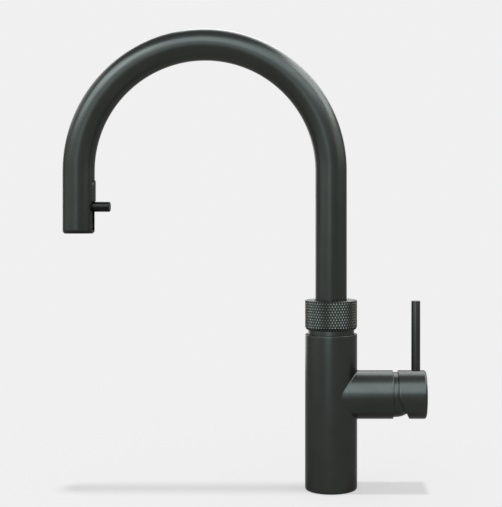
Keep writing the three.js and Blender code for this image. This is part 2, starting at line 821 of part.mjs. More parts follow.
function spout() {
  const group = new THREE.Group();
  const clip_inner_r = spout_groove_r + seat_gap;
  const clip_outer_r = spout_groove_r + circlip_width;
  const clip = split_ring(clip_inner_r, clip_outer_r, spout_clip_foot, spout_clip_top);
  const hose_route = swan_neck(spout_foot, arc_z, 0, hose_arc_steps);
  const boiling_route = swan_neck(spout_foot + tube_seat, dock_foot + tube_seat, boiling_offset, hose_arc_steps);
  const magnet = rod(boiling_r, dock_foot, dock_foot + docking_magnet_length);
  group.add(
    piece('spout_tube', spout_tube(), gunmetal),
    piece('spout_foot', spout_foot_plug(), brass),
    piece('spout_circlip', clip, steel),
    piece('hose_spout_run', pipe_along(hose_route, hose_r, hose_bore_r, 8), hose_braid),
    piece('boiling_tube', pipe_along(boiling_route, boiling_r, boiling_bore_r, 6), copper),
    piece('docking_sleeve', moved(docking_sleeve(), -spout_reach, 0, 0), black_plastic),
    piece('docking_magnet', moved(magnet, -spout_reach + boiling_offset, 0, 0), steel),
  );
  return group;
}

// ---- Pull-out outlet, about its own axis -----------------------------------------------------------

function nozzle_body() {
  const chamber_top = nozzle_body_foot + chamber_height;
  const socket_foot = nozzle_top - socket_depth;
  const socket_r = coupling_r + seat_gap;
  const body = turned([
    [chamber_r, nozzle_body_foot],
    [insert_r, nozzle_body_foot],
    [insert_r, nozzle_top],
    [socket_r, nozzle_top],
    [socket_r, socket_foot],
    [hose_bore_r, socket_foot],
    [hose_bore_r, chamber_top],
    [chamber_r, chamber_top],
  ], slim_sides);
  const open_top = nozzle_top + cut_margin;
  const port = rod(boiling_bore_r, chamber_top - cut_margin, open_top);
  const seal_pocket = rod(port_seal_r + seat_gap, nozzle_top - port_seal_depth - seat_gap, open_top);
  const keeper_foot = nozzle_top - seat_gap - keeper_length;
  const keeper_pocket = rod(keeper_r + seat_gap, keeper_foot - seat_gap, open_top);
  const stud_hole = rod(peg_stud_r + seat_gap, peg_stud_end - seat_gap, insert_r + cut_margin);
  return body
    .subtract(moved(port, -keeper_x, 0, 0))
    .subtract(moved(seal_pocket, -boiling_offset, 0, 0))
    .subtract(moved(keeper_pocket, keeper_x, 0, 0))
    .subtract(moved(laid_along_x(stud_hole), 0, 0, peg_z));
}

function tongue() {
  const foot = peg_z + peg_r + seat_gap;
  const face_r = spout_r + tongue_proud;
  const shell = collar(insert_r + seat_gap, face_r, foot - cut_margin, nozzle_top + cut_margin, tongue_sides);
  return shell.intersect(slot_prism(tongue_half, foot, slot_arc_z, face_r + cut_margin));
}

function grip_peg() {
  const shape = turned([
    [0, peg_stud_end],
    [peg_stud_r, peg_stud_end],
    [peg_stud_r, insert_r + seat_gap],
    [peg_r, insert_r + seat_gap],
    [peg_r, peg_end - peg_chamfer],
    [peg_r - peg_chamfer, peg_end],
    [0, peg_end],
  ], slim_sides);
  return moved(laid_along_x(shape), 0, 0, peg_z);
}

function aerator_ring() {
  const top = nozzle_foot + aerator_ring_height;
  return turned([
    [chamber_r, nozzle_foot + aerator_bevel_depth],
    [chamber_r + aerator_bevel_width, nozzle_foot],
    [insert_r - aerator_chamfer, nozzle_foot],
    [insert_r, nozzle_foot + aerator_chamfer],
    [insert_r, top],
    [chamber_r, top],
  ], slim_sides);
}

// A disc with rings of holes about the middle one.
function aerator_grid() {
  const foot = nozzle_foot + aerator_inset;
  const top = foot + aerator_thickness;
  const disc_r = chamber_r - seat_gap;
  const rings = Math.floor((disc_r - aerator_hole_r - seat_gap) / aerator_hole_pitch);
  const hole = rod(aerator_hole_r, foot - cut_margin, top + cut_margin, 5);
  let disc = rod(disc_r, foot, top, hidden_sides).subtract(hole);
  for (let ring = 1; ring <= rings; ring++) {
    for (let i = 0; i < 6 * ring; i++) {
      const angle = (i / (6 * ring)) * 2 * Math.PI;
      const r = ring * aerator_hole_pitch;
      disc = disc.subtract(moved(hole, r * Math.cos(angle), r * Math.sin(angle), 0));
    }
  }
  return disc;
}

function pull_out_outlet() {
  const group = new THREE.Group();
  const coupling = hex_nut(coupling_r, hose_bore_r, coupling_foot, coupling_top);
  const outlet_run = collar(hose_bore_r, hose_r, coupling_top + seat_gap, arc_z - seat_gap, small_sides);
  const seal = collar(boiling_bore_r, port_seal_r, nozzle_top - port_seal_depth, nozzle_top + port_seal_proud,
    small_sides);
  const keeper_top = nozzle_top - seat_gap;
  const keeper = rod(keeper_r, keeper_top - keeper_length, keeper_top);
  group.add(
    piece('nozzle_body', nozzle_body(), gunmetal),
    piece('slot_tongue', tongue(), gunmetal),
    piece('grip_peg', grip_peg(), gunmetal),
    piece('outlet_ring', aerator_ring(), black_plastic),
    piece('aerator', aerator_grid(), black_plastic),
    piece('hose_coupling', coupling, brass),
    piece('hose_outlet_run', outlet_run, hose_braid),
    piece('port_seal', moved(seal, -boiling_offset, 0, 0), rubber),
    piece('docking_keeper', moved(keeper, keeper_x, 0, 0), steel),
  );
  group.position.x = -spout_reach;
  return group;
}

// ---- Mixer in the side arm -------------------------------------------------------------------------
// These are modelled about the arm's axis, which the group then lays along X: local Z is the distance
// from the column's axis and local -X is up.

function up(shape, height) {
  return moved(shape, -height, 0, 0);
}

// A rod that stands up from the arm's axis, between two heights above it.
function along_up(r, from, to, sides = small_sides) {
  return rod(r, from, to, sides).rotate([0, -90, 0]);
}

function with_port_holes(shape, foot, top) {
  let cut = shape;
  for (const { y, rise } of Object.values(ports)) {
    cut = cut.subtract(moved(rod(port_r, foot - cut_margin, top + cut_margin), -rise, y, 0));
  }
  return cut;
}

function cartridge_housing() {
  const floor_top = cartridge_x + cartridge_floor;
  const cup = turned([
    [0, cartridge_x],
    [cartridge_r, cartridge_x],
    [cartridge_r, housing_top],
    [housing_bore_r, housing_top],
    [housing_bore_r, floor_top],
    [0, floor_top],
  ], hidden_sides);
  return with_port_holes(cup, cartridge_x, floor_top);
}

function fixed_disc() {
  const disc = rod(housing_bore_r - seat_gap, fixed_disc_foot, fixed_disc_top, hidden_sides);
  return with_port_holes(disc, fixed_disc_foot, fixed_disc_top);
}

// The moving disc and its driver rest below the arm's axis by half their travel, with the water shut.
function moving_disc() {
  const disc = rod(moving_disc_r, moving_disc_foot, moving_disc_top, hidden_sides);
  const pocket_top = moving_disc_foot + disc_thickness / 2;
  const pocket = rod(moving_disc_r - disc_rim, moving_disc_foot - cut_margin, pocket_top, hidden_sides);
  return up(disc.subtract(pocket), -disc_travel / 2);
}

function disc_driver() {
  const disc = rod(moving_disc_r, driver_foot, driver_top, hidden_sides);
  const hole = rod(stem_ball_r + slide_gap, driver_foot + driver_floor, driver_top + cut_margin);
  return up(disc, -disc_travel / 2).subtract(hole);
}

function cartridge_rotor() {
  const flange_r = housing_bore_r - slide_gap;
  const shape = turned([
    [0, rotor_foot],
    [flange_r, rotor_foot],
    [flange_r, rotor_flange_top],
    [rotor_r, rotor_flange_top],
    [rotor_r, rotor_end],
    [0, rotor_end],
  ], hidden_sides);
  const half = stem_width / 2 + seat_gap;
  const slot = block(-flange_r, half + rotor_slot_room, -half, half, rotor_foot - cut_margin,
    rotor_end + cut_margin);
  const pin_hole = cross_rod(stem_pin_r + stem_pin_gap, 2 * rotor_r + cut_margin);
  return shape.subtract(slot).subtract(moved(pin_hole, 0, 0, dome_x));
}

function dome_cover() {
  const base_foot = nut_top + seat_gap;
  const bore_r = arm_core_r - dome_wall - dome_step;
  const arc = (r, count) => Array.from({ length: count + 1 }, (_, i) => {
    const place = dome_start + ((dome_reach - dome_start) * i) / count;
    return [Math.sqrt(r ** 2 - place ** 2), dome_x + place];
  });
  return turned([
    [bore_r, base_foot],
    [arm_core_r, base_foot],
    [arm_core_r, dome_x + dome_start],
    ...arc(dome_r, dome_steps),
    ...arc(dome_r - dome_wall, dome_steps - 3).reverse(),
    [bore_r, dome_x + dome_start],
  ]);
}

// In the lever's pieces the origin is the pivot.
function cartridge_stem() {
  const half = stem_width / 2;
  const ball_place = ball_x - dome_x;
  const bar = block(-half, half, -half, half, -half - stem_heel, socket_end - seat_gap);
  const neck = rod(stem_neck_r, ball_place, 0);
  const pin_hole = cross_rod(stem_pin_r + slide_gap, stem_width + cut_margin);
  return bar.add(neck).add(moved(ball(stem_ball_r, small_sides), 0, 0, ball_place)).subtract(pin_hole);
}

function handle_cap() {
  const corner = Array.from({ length: fillet_steps + 1 }, (_, i) => {
    const angle = (i / fillet_steps) * (Math.PI / 2);
    return [cap_r - cap_fillet * (1 - Math.cos(angle)), cap_end - cap_fillet * (1 - Math.sin(angle))];
  });
  const cylinder = turned([[0, cap_start], [cap_r, cap_start], ...corner, [0, cap_end]]);
  const cavity = ball(dome_r + cap_cavity_gap, slim_sides)
    .intersect(block(-cap_r, cap_r, -cap_r, cap_r, -cap_r, cap_cavity_reach));
  const half = stem_width / 2 + seat_gap;
  const socket = block(-half, half, -half, half, 0, socket_end);
  const lever_hole = along_up(lever_r + seat_gap, lever_foot - seat_gap, cap_r + cut_margin, slim_sides);
  const grub_hole = along_up(grub_screw_r + seat_gap, -cap_r - cut_margin, 0);
  // the lower half is cut back, so that the cap can tip until this cut stands upright
  const wedge = block(0, 2 * cap_r, -2 * cap_r, 2 * cap_r, -2 * cap_r, 0).rotate([0, -lift_deg, 0]);
  return cylinder
    .subtract(cavity)
    .subtract(socket)
    .subtract(moved(lever_hole, 0, 0, lever_x))
    .subtract(moved(grub_hole, 0, 0, grub_screw_x))
    .subtract(moved(wedge, 0, 0, cap_start));
}

function lever_pin() {
  const top = lever_foot + lever_length;
  const shape = turned([
    [0, lever_foot],
    [lever_r, lever_foot],
    [lever_r, top - edge_chamfer],
    [lever_r - edge_chamfer, top],
    [0, top],
  ], slim_sides);
  return moved(shape.rotate([0, -90, 0]), 0, 0, lever_x);
}

function mixer() {
  const arm = new THREE.Group();
  const lever = new THREE.Group();
  const seal = collar(cartridge_r - cartridge_seal_width, cartridge_r, cartridge_seal_x,
    cartridge_seal_x + cartridge_seal_thickness);
  const stem_pin = cross_rod(stem_pin_r, 2 * (rotor_r - stem_pin_inset));
  const grub_screw = along_up(grub_screw_r, grub_screw_inset - cap_r, -stem_width / 2 - seat_gap);
  arm.add(
    piece('cartridge_seal', seal, rubber),
    piece('cartridge_housing', cartridge_housing(), white_plastic),
    piece('fixed_disc', fixed_disc(), ceramic),
    piece('moving_disc', moving_disc(), ceramic),
    piece('disc_driver', disc_driver(), white_plastic),
    piece('cartridge_rotor', cartridge_rotor(), white_plastic),
    piece('stem_pin', moved(stem_pin, 0, 0, dome_x), steel),
    piece('cartridge_nut', collar(rotor_r + slide_gap, arm_core_r, nut_foot, nut_top), brass),
    piece('dome_cover', dome_cover(), gunmetal),
  );
  lever.add(
    piece('cartridge_stem', cartridge_stem(), steel),
    piece('handle_cap', handle_cap(), gunmetal),
    piece('lever_pin', lever_pin(), gunmetal),
    piece('grub_screw', moved(grub_screw, 0, 0, grub_screw_x), steel),
  );
  lever.position.z = dome_x;
  arm.add(lever);
  arm.position.z = arm_z;
  arm.rotation.y = Math.PI / 2;
  return arm;
}

// ---- The whole tap ---------------------------------------------------------------------------------

const tap = new THREE.Group();
tap.add(
  piece('body_shell', body_shell(), gunmetal),
  deck_fixing(),
  waterways(),
  neck_and_bearing(),
  boiling_ring(),
  spout(),
  pull_out_outlet(),
  mixer(),
);

export default tap;
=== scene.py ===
import math

import bmesh
import bpy
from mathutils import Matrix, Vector


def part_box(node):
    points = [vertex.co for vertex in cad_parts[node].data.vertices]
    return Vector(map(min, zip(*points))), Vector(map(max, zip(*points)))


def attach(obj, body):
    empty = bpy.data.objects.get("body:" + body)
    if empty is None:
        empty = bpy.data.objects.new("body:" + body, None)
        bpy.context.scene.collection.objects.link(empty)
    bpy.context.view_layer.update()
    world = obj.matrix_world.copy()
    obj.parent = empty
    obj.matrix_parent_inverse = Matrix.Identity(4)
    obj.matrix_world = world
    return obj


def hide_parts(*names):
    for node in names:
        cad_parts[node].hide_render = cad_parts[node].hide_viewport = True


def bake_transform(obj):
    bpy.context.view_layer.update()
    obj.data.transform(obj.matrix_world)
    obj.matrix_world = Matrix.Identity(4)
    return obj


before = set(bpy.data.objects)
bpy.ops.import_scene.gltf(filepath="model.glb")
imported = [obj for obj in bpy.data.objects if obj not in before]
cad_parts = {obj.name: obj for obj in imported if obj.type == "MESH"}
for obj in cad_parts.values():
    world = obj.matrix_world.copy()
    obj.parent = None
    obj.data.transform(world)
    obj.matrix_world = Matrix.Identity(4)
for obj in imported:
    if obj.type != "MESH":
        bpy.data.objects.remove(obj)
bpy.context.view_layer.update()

# Lengths are in millimetres here, and each mesh is scaled to metres when it is made. What a packed
# node gives is read from its box. The rest are the finer forms that only the visible pieces have.
MM = 0.001
SMOOTH = math.radians(32)
MERGED, SLIVER = 2e-6, 1e-7  # in metres: points this close are one, and edges this short are dropped
DOT = 0.001  # the radius of a circle that closes a face at its axis


def node_box(name):
    low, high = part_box(name)
    return low / MM, high / MM


# ---- Shapes ----------------------------------------------------------------------------------------

def full_turn(count):
    """Even angles around a circle."""
    return [2 * math.pi * k / count for k in range(count)]


def between(a, b, t):
    """The point at share t of the way from a to b."""
    return tuple(p + (q - p) * t for p, q in zip(a, b))


def swung(a, b, sweep, t):
    """The vector at share t of the turn from a to b. They have one length and are sweep apart."""
    return (a * math.sin((1 - t) * sweep) + b * math.sin(t * sweep)) / math.sin(sweep)


def on_column(radius, theta, z):
    return (radius * math.cos(theta), radius * math.sin(theta), z)


def rounded(corners, steps=5):
    """A closed outline of (r, h) or (r, h, fillet) corners, with each fillet as an arc."""
    points = []
    count = len(corners)
    for k in range(count):
        here = Vector(corners[k][:2])
        fillet = corners[k][2] if len(corners[k]) > 2 else 0
        if not fillet:
            points.append(tuple(here))
            continue
        back = (Vector(corners[k - 1][:2]) - here).normalized()
        ahead = (Vector(corners[(k + 1) % count][:2]) - here).normalized()
        half = math.acos(max(-1, min(1, back.dot(ahead)))) / 2
        reach = fillet / math.tan(half)
        start, end = here + back * reach, here + ahead * reach
        centre = here + (back + ahead).normalized() * fillet / math.sin(half)
        a, b = start - centre, end - centre
        sweep = math.acos(max(-1, min(1, a.dot(b) / fillet ** 2)))
        points += [tuple(centre + swung(a, b, sweep, n / steps)) for n in range(steps + 1)]
    return points


def placer(axis, at):
    """Puts (radius, angle, height) round an axis through at. An X axis turns from +Y to +Z."""
    ax, ay, az = at
    if axis == "Z":
        return lambda r, t, h: (ax + r * math.cos(t), ay + r * math.sin(t), az + h)
    return lambda r, t, h: (ax + h, ay + r * math.cos(t), az + r * math.sin(t))


def lathe(profile, segments, axis="Z", at=(0, 0, 0)):
    """Vertices and faces of a closed outline of (r, h) points turned round an axis."""
    put = placer(axis, at)
    verts, faces = [], []
    count = len(profile)
    on_axis = [r < 1e-6 for r, _ in profile]
    for t in full_turn(segments):
        verts += [put(max(r, 0), t, h) for r, h in profile]
    for s in range(segments):
        here, there = s * count, ((s + 1) % segments) * count
        for k in range(count):
            n = (k + 1) % count
            if not (on_axis[k] and on_axis[n]):
                faces.append((here + k, there + k, there + n, here + n))
    return verts, faces


def rod(radius, x, y, foot, top, segments=48):
    """A plain upright cylinder, for cutting."""
    return lathe([(0, foot), (radius, foot), (radius, top), (0, top)], segments, "Z", (x, y, 0))


class Build:
    """Collects patches into one mesh."""

    def __init__(self):
        self.verts, self.faces = [], []

    def add(self, verts, faces):
        base = len(self.verts)
        self.verts += verts
        self.faces += [tuple(base + i for i in face) for face in faces]

    def rows(self, rows, closed=False):
        """Quads between rows of points that have equal counts."""
        width = len(rows[0])
        verts = [point for row in rows for point in row]
        faces = []
        for j in range(len(rows) - 1):
            for i in range(width if closed else width - 1):
                n = (i + 1) % width
                faces.append((j * width + i, j * width + n, (j + 1) * width + n, (j + 1) * width + i))
        self.add(verts, faces)


# ---- Meshes and pieces -----------------------------------------------------------------------------

def shade(mesh, angle=SMOOTH):
    """Smooth shading, broken at edges sharper than the angle."""
    for polygon in mesh.polygons:
        polygon.use_smooth = True
    mesh.set_sharp_from_angle(angle=angle)


def make(name, verts, faces, body, material, replaces=(), smooth=SMOOTH):
    mesh = bpy.data.meshes.new(name)
    mesh.from_pydata([Vector(v) * MM for v in verts], [], faces)
    bm = bmesh.new()
    bm.from_mesh(mesh)
    bmesh.ops.remove_doubles(bm, verts=bm.verts, dist=MERGED)
    bmesh.ops.dissolve_degenerate(bm, edges=bm.edges, dist=SLIVER)
    bmesh.ops.recalc_face_normals(bm, faces=bm.faces)
    bm.to_mesh(mesh)
    bm.free()
    shade(mesh, smooth)
    mesh.materials.append(material)
    obj = bpy.data.objects.new(name, mesh)
    bpy.context.scene.collection.objects.link(obj)
    if body:
        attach(obj, body)
    if replaces:
        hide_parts(*replaces)
    return obj


def turned(name, corners, body, material, replaces=(), axis="Z", at=(0, 0, 0), segments=160,
           steps=5):
    verts, faces = lathe(rounded(corners, steps), segments, axis, at)
    return make(name, verts, faces, body, material, replaces)


def cut(obj, *cutters):
    """Takes plain shapes, given as (vertices, faces), out of a finished mesh."""
    for k, (verts, faces) in enumerate(cutters):
        tool = make(f"cutter{k}", verts, faces, None, obj.data.materials[0])
        step = obj.modifiers.new("cut", "BOOLEAN")
        step.operation, step.solver, step.object = "DIFFERENCE", "EXACT", tool
        graph = bpy.context.evaluated_depsgraph_get()
        graph.update()
        result = bpy.data.meshes.new_from_object(obj.evaluated_get(graph))
        obj.modifiers.clear()
        obj.data = result
        mesh = tool.data
        bpy.data.objects.remove(tool)
        bpy.data.meshes.remove(mesh)
    shade(obj.data)


# ---- Materials -------------------------------------------------------------------------------------

BROAD_SCALE, GRAIN_SCALE, RELIEF_SCALE = 45.0, 5200.0, 9000.0
RELIEF_DEPTH = 0.00002
NOISE_LOW, NOISE_HIGH = 0.3, 0.7  # nearly all of a noise texture lies between these
STRAND_SCALE, STRAND_TURN = 260.0, math.radians(45)
METAL, PLAIN = 1.0, 0.0
TURNED = (1, 1, 12)  # draws the grain out around the axis
SATIN_RIM, BRIGHT_RIM = (0.60, 0.60, 0.60, 1), (0.85, 0.85, 0.85, 1)


def remap(nodes, links, value, to_low, to_high, low=0.0, high=1.0):
    span = nodes.new("ShaderNodeMapRange")
    for key, number in (("From Min", low), ("From Max", high), ("To Min", to_low), ("To Max", to_high)):
        span.inputs[key].default_value = number
    links.new(value, span.inputs["Value"])
    return span.outputs["Result"]


def noise(nodes, links, vector, scale, detail, stretch=None):
    texture = nodes.new("ShaderNodeTexNoise")
    texture.inputs["Scale"].default_value = scale
    texture.inputs["Detail"].default_value = detail
    if stretch:
        mapping = nodes.new("ShaderNodeMapping")
        mapping.inputs["Scale"].default_value = stretch
        links.new(vector, mapping.inputs["Vector"])
        vector = mapping.outputs["Vector"]
    links.new(vector, texture.inputs["Vector"])
    return texture.outputs["Fac"]


def larger(nodes, links, values):
    """The largest of the values."""
    most = values[0]
    for value in values[1:]:
        pick = nodes.new("ShaderNodeMath")
        pick.operation = "MAXIMUM"
        links.new(most, pick.inputs[0])
        links.new(value, pick.inputs[1])
        most = pick.outputs[0]
    return most


def weave(nodes, links, vector):
    """A braid's relief: two families of fine strands."""
    bands = []
    for turn in (STRAND_TURN, -STRAND_TURN):
        mapping = nodes.new("ShaderNodeMapping")
        mapping.inputs["Rotation"].default_value = (0, turn, turn)
        links.new(vector, mapping.inputs["Vector"])
        wave = nodes.new("ShaderNodeTexWave")
        wave.inputs["Scale"].default_value = STRAND_SCALE
        links.new(mapping.outputs["Vector"], wave.inputs["Vector"])
        bands.append(wave.outputs["Fac"])
    return larger(nodes, links, bands)


def finish_material(name, colour, metallic, roughness, grain=0.04, spread=0.06, bump=0.02,
                    stretch=None, woven=False, **sockets):
    """A Principled material with noise at real scale. colour is linear, spread is how far it wanders,
    and grain how far the roughness does. sockets sets the shader's other inputs by their names."""
    material = bpy.data.materials.new(name)
    material.use_nodes = True
    nodes, links = material.node_tree.nodes, material.node_tree.links
    bsdf = nodes["Principled BSDF"]
    bsdf.inputs["Metallic"].default_value = metallic
    for key, value in sockets.items():
        bsdf.inputs[key.replace("_", " ")].default_value = value
    vector = nodes.new("ShaderNodeTexCoord").outputs["Object"]
    broad = noise(nodes, links, vector, BROAD_SCALE, 2.0)
    fine = noise(nodes, links, vector, GRAIN_SCALE, 3.0, stretch)
    tone = nodes.new("ShaderNodeMix")
    tone.data_type = "RGBA"
    tone.inputs["A"].default_value = (*[c * (1 - spread) for c in colour], 1)
    tone.inputs["B"].default_value = (*[min(1, c * (1 + spread)) for c in colour], 1)
    share = remap(nodes, links, broad, 0, 1, NOISE_LOW, NOISE_HIGH)
    rough = remap(nodes, links, fine, roughness - grain, roughness + grain, NOISE_LOW, NOISE_HIGH)
    links.new(share, tone.inputs["Factor"])
    links.new(tone.outputs["Result"], bsdf.inputs["Base Color"])
    links.new(rough, bsdf.inputs["Roughness"])
    relief = nodes.new("ShaderNodeBump")
    relief.inputs["Strength"].default_value = bump
    relief.inputs["Distance"].default_value = RELIEF_DEPTH
    if woven:
        height = weave(nodes, links, vector)
    else:
        height = noise(nodes, links, vector, RELIEF_SCALE, 2.0, stretch)
    links.new(height, relief.inputs["Height"])
    links.new(relief.outputs["Normal"], bsdf.inputs["Normal"])
    return material


def paint_tip_wear_and_groove_shade(material, dark, bright):
    """Tips made lighter, partly from wear and partly as a painted highlight, and grooves made darker as
    painted shade: the colour is scaled by the mesh's own attribute of tip wear and painted shade, 0 to
    1.
    """
    nodes, links = material.node_tree.nodes, material.node_tree.links
    base = nodes["Principled BSDF"].inputs["Base Color"]
    before = base.links[0].from_socket
    wear_and_shade = nodes.new("ShaderNodeAttribute")
    wear_and_shade.attribute_name = "wear_and_shade"
    scale = nodes.new("ShaderNodeVectorMath")
    scale.operation = "SCALE"
    links.new(before, scale.inputs[0])
    links.new(remap(nodes, links, wear_and_shade.outputs["Fac"], dark, bright), scale.inputs["Scale"])
    links.new(scale.outputs["Vector"], base)


gunmetal = finish_material("satin_gunmetal", (0.0312, 0.0332, 0.0305), METAL, 0.29,
                           Specular_Tint=SATIN_RIM)
knurled = finish_material("knurled_gunmetal", (0.0304, 0.0324, 0.0292), METAL, 0.24,
                          Specular_Tint=BRIGHT_RIM)
# painted shade darkens the knurl's grooves to 0.32 of the base colour, and the tips are lightened up to
# 2.3 times, partly wear and partly painted highlight
paint_tip_wear_and_groove_shade(knurled, dark=0.32, bright=2.3)
dark_gunmetal = finish_material("dark_gunmetal", (0.012, 0.0125, 0.0115), METAL, 0.33,
                                Specular_Tint=SATIN_RIM)
black_plastic = finish_material("black_plastic", (0.006, 0.006, 0.006), PLAIN, 0.50, bump=0.06,
                                Specular_IOR_Level=0.10)
white_plastic = finish_material("white_plastic", (0.72, 0.71, 0.68), PLAIN, 0.40, spread=0.02,
                                bump=0.04)
rubber = finish_material("black_rubber", (0.016, 0.016, 0.016), PLAIN, 0.70, bump=0.12)
brass = finish_material("machined_brass", (0.62, 0.42, 0.17), METAL, 0.28, grain=0.08, stretch=TURNED)
steel = finish_material("brushed_steel", (0.56, 0.55, 0.53), METAL, 0.27, grain=0.08, stretch=TURNED)
copper = finish_material("drawn_copper", (0.72, 0.33, 0.20), METAL, 0.30, spread=0.12)
ceramic = finish_material("ceramic", (0.78, 0.76, 0.70), PLAIN, 0.18, spread=0.02, bump=0.01,
                          Coat_Weight=0.4)
hose_braid = finish_material("hose_braid", (0.09, 0.09, 0.095), PLAIN, 0.55, bump=0.5, woven=True)

FINISHES = {"gunmetal": gunmetal, "knurled_metal": knurled, "black_plastic": black_plastic,
            "white_plastic": white_plastic, "rubber": rubber, "brass": brass, "steel": steel,
            "copper": copper, "ceramic": ceramic, "hose_braid": hose_braid}


# ---- Body: the column and its arm, with a small fillet where they meet -----------------------------

body_low, body_high = node_box("body_shell")
COLUMN_R = -body_low.x
COLUMN_BORE_R = COLUMN_R - 2.4
COLUMN_FOOT, COLUMN_TOP = body_low.z, body_high.z
ARM_Z, ARM_R, ARM_BORE_R, ARM_END = 83.3, 21.4, 19.2, body_high.x
JOIN_FILLET = 1.1
BODY_EDGE, BODY_BORE_EDGE = 0.45, 0.3


def join_loop(column_r, arm_r, fillet, angles):
    """Points of two cylinders' join: (contact on column, centre, contact on arm) at each angle."""
    loop = []
    for phi in angles:
        y = (arm_r + fillet) * math.cos(phi)
        z = ARM_Z + (arm_r + fillet) * math.sin(phi)
        x = math.sqrt(max((column_r + fillet) ** 2 - y * y, 1e-9))
        share = column_r / (column_r + fillet)
        side = arm_r / (arm_r + fillet)
        loop.append(((x * share, y * share, z), (x, y, z), (x, y * side, ARM_Z + (z - ARM_Z) * side)))
    return loop


def column_skin(build, radius, arm_r, fillet, foot, top):
    """The column's wall round the arm's hole. Gives the join's loop and the angles around the wall."""
    per_side, rings, ease = 40, 14, 1.5
    half_turn, half_height = math.radians(90), 32.0
    patch_foot, patch_top = ARM_Z - half_height, ARM_Z + half_height
    low_steps, high_steps = 26, 12
    # the patch round the hole, from the join's loop to a square frame
    square = []
    for side in range(4):
        for k in range(per_side):
            t = -1 + 2 * k / per_side
            square.append(((t, 1), (1, -t), (-t, -1), (-1, t))[side])
    loop = join_loop(radius, arm_r, fillet, [math.atan2(v, u) for u, v in square])
    rows = []
    for j in range(rings + 1):
        t = (j / rings) ** ease
        row = []
        for (contact, _, _), (u, v) in zip(loop, square):
            start = (math.atan2(contact[1], contact[0]), contact[2])
            end = (u * half_turn, ARM_Z + v * half_height)
            row.append(on_column(radius, *between(start, end, t)))
        rows.append(row)
    build.rows(rows, closed=True)
    # the wall above and below the patch, and behind
    front = [half_turn * (-1 + 2 * k / per_side) for k in range(per_side + 1)]
    back = [half_turn + (2 * math.pi - 2 * half_turn) * k / per_side for k in range(per_side + 1)]
    above = [patch_top + (top - patch_top) * j / high_steps for j in range(high_steps + 1)]
    below = [foot + (patch_foot - foot) * j / low_steps for j in range(low_steps + 1)]
    beside = [patch_foot + 2 * half_height * j / per_side for j in range(per_side)]
    for turns, levels in ((front, above), (front, below), (back, below[:-1] + beside + above)):
        build.rows([[on_column(radius, t, z) for t in turns] for z in levels])
    return loop, front + back[1:-1]


def column_and_arm():
    build = Build()
    fillet_steps, arm_steps, bore_steps, edge_steps = 6, 24, 8, 4
    edge, bore_edge = BODY_EDGE, BODY_BORE_EDGE
    rounding = [math.pi / 2 * n / edge_steps for n in range(edge_steps + 1)]
    loop, around = column_skin(build, COLUMN_R, ARM_R, JOIN_FILLET, COLUMN_FOOT + edge,
                               COLUMN_TOP - edge)
    rows = []
    for j in range(fillet_steps + 1):
        t = j / fillet_steps
        row = []
        for contact, centre, start in loop:
            a, b = Vector(contact) - Vector(centre), Vector(start) - Vector(centre)
            sweep = a.angle(b) if a.length and b.length else 0
            if sweep < 1e-4:
                row.append(between(contact, start, t))
            else:
                row.append(tuple(Vector(centre) + swung(a, b, sweep, t)))
        rows.append(row)
    build.rows(rows, closed=True)

    def along(start, end, steps):
        build.rows([[between(p, q, j / steps) for p, q in zip(start, end)] for j in range(steps + 1)],
                   closed=True)

    arm_start = [start for _, _, start in loop]
    arm_rim = [(ARM_END - edge, y, z) for _, y, z in arm_start]
    along(arm_start, arm_rim, arm_steps)

    def scaled(radius, x):
        """The arm's rim drawn in to a radius, at an x."""
        out = []
        for _, y, z in arm_rim:
            share = radius / math.hypot(y, z - ARM_Z)
            out.append((x, y * share, ARM_Z + (z - ARM_Z) * share))
        return out

    ends = [arm_rim]
    ends += [scaled(ARM_R - edge * (1 - math.cos(a)), ARM_END - edge + edge * math.sin(a))
             for a in rounding[1:]]
    ends += [scaled(ARM_BORE_R + bore_edge, ARM_END), scaled(ARM_BORE_R, ARM_END - bore_edge)]
    inner_loop, _ = column_skin(build, COLUMN_BORE_R, ARM_BORE_R, 0, COLUMN_FOOT + bore_edge,
                                COLUMN_TOP - bore_edge)
    build.rows(ends, closed=True)
    along(ends[-1], [start for _, _, start in inner_loop], bore_steps)
    # the column's two rims
    for z, sign in ((COLUMN_TOP, -1), (COLUMN_FOOT, 1)):
        rim = [(COLUMN_R - edge * (1 - math.cos(a)), z + sign * edge * (1 - math.sin(a)))
               for a in rounding]
        rim += [(COLUMN_BORE_R + bore_edge, z), (COLUMN_BORE_R, z + sign * bore_edge)]
        build.rows([[on_column(r, t, h) for t in around] for r, h in rim], closed=True)
    make("body_skin", build.verts, build.faces, "root", gunmetal, ["body_shell"])


column_and_arm()

# ---- Foot and neck ---------------------------------------------------------------------------------

GASKET_BORE_R, GASKET_SPIGOT_R, GASKET_LIP = 17.8, 20.45, 0.6
low, high = node_box("base_gasket")
turned("foot_gasket", [(GASKET_BORE_R, low.z), (high.x, low.z, 0.25), (high.x, GASKET_LIP, 0.25),
                       (GASKET_SPIGOT_R, GASKET_LIP), (GASKET_SPIGOT_R, high.z, 0.3),
                       (GASKET_BORE_R, high.z, 0.3)],
       "root", rubber, ["base_gasket"])

NECK_BORE_R, NECK_SHOULDER_Z = 16.1, 148.3
NOSE_R, NOSE_BORE_R, NOSE_FOOT = 16.2, 14.4, 146.3
low, high = node_box("neck_sleeve")
turned("neck_turning", [(NECK_BORE_R, low.z), (high.x, low.z, 0.4), (high.x, NECK_SHOULDER_Z, 0.5),
                        (NOSE_R, NECK_SHOULDER_Z), (NOSE_R, high.z, 0.4), (NOSE_BORE_R, high.z, 0.3),
                        (NOSE_BORE_R, NOSE_FOOT), (NECK_BORE_R, NOSE_FOOT)],
       "root", gunmetal, ["neck_sleeve"])

# ---- Ring ------------------------------------------------------------------------------------------

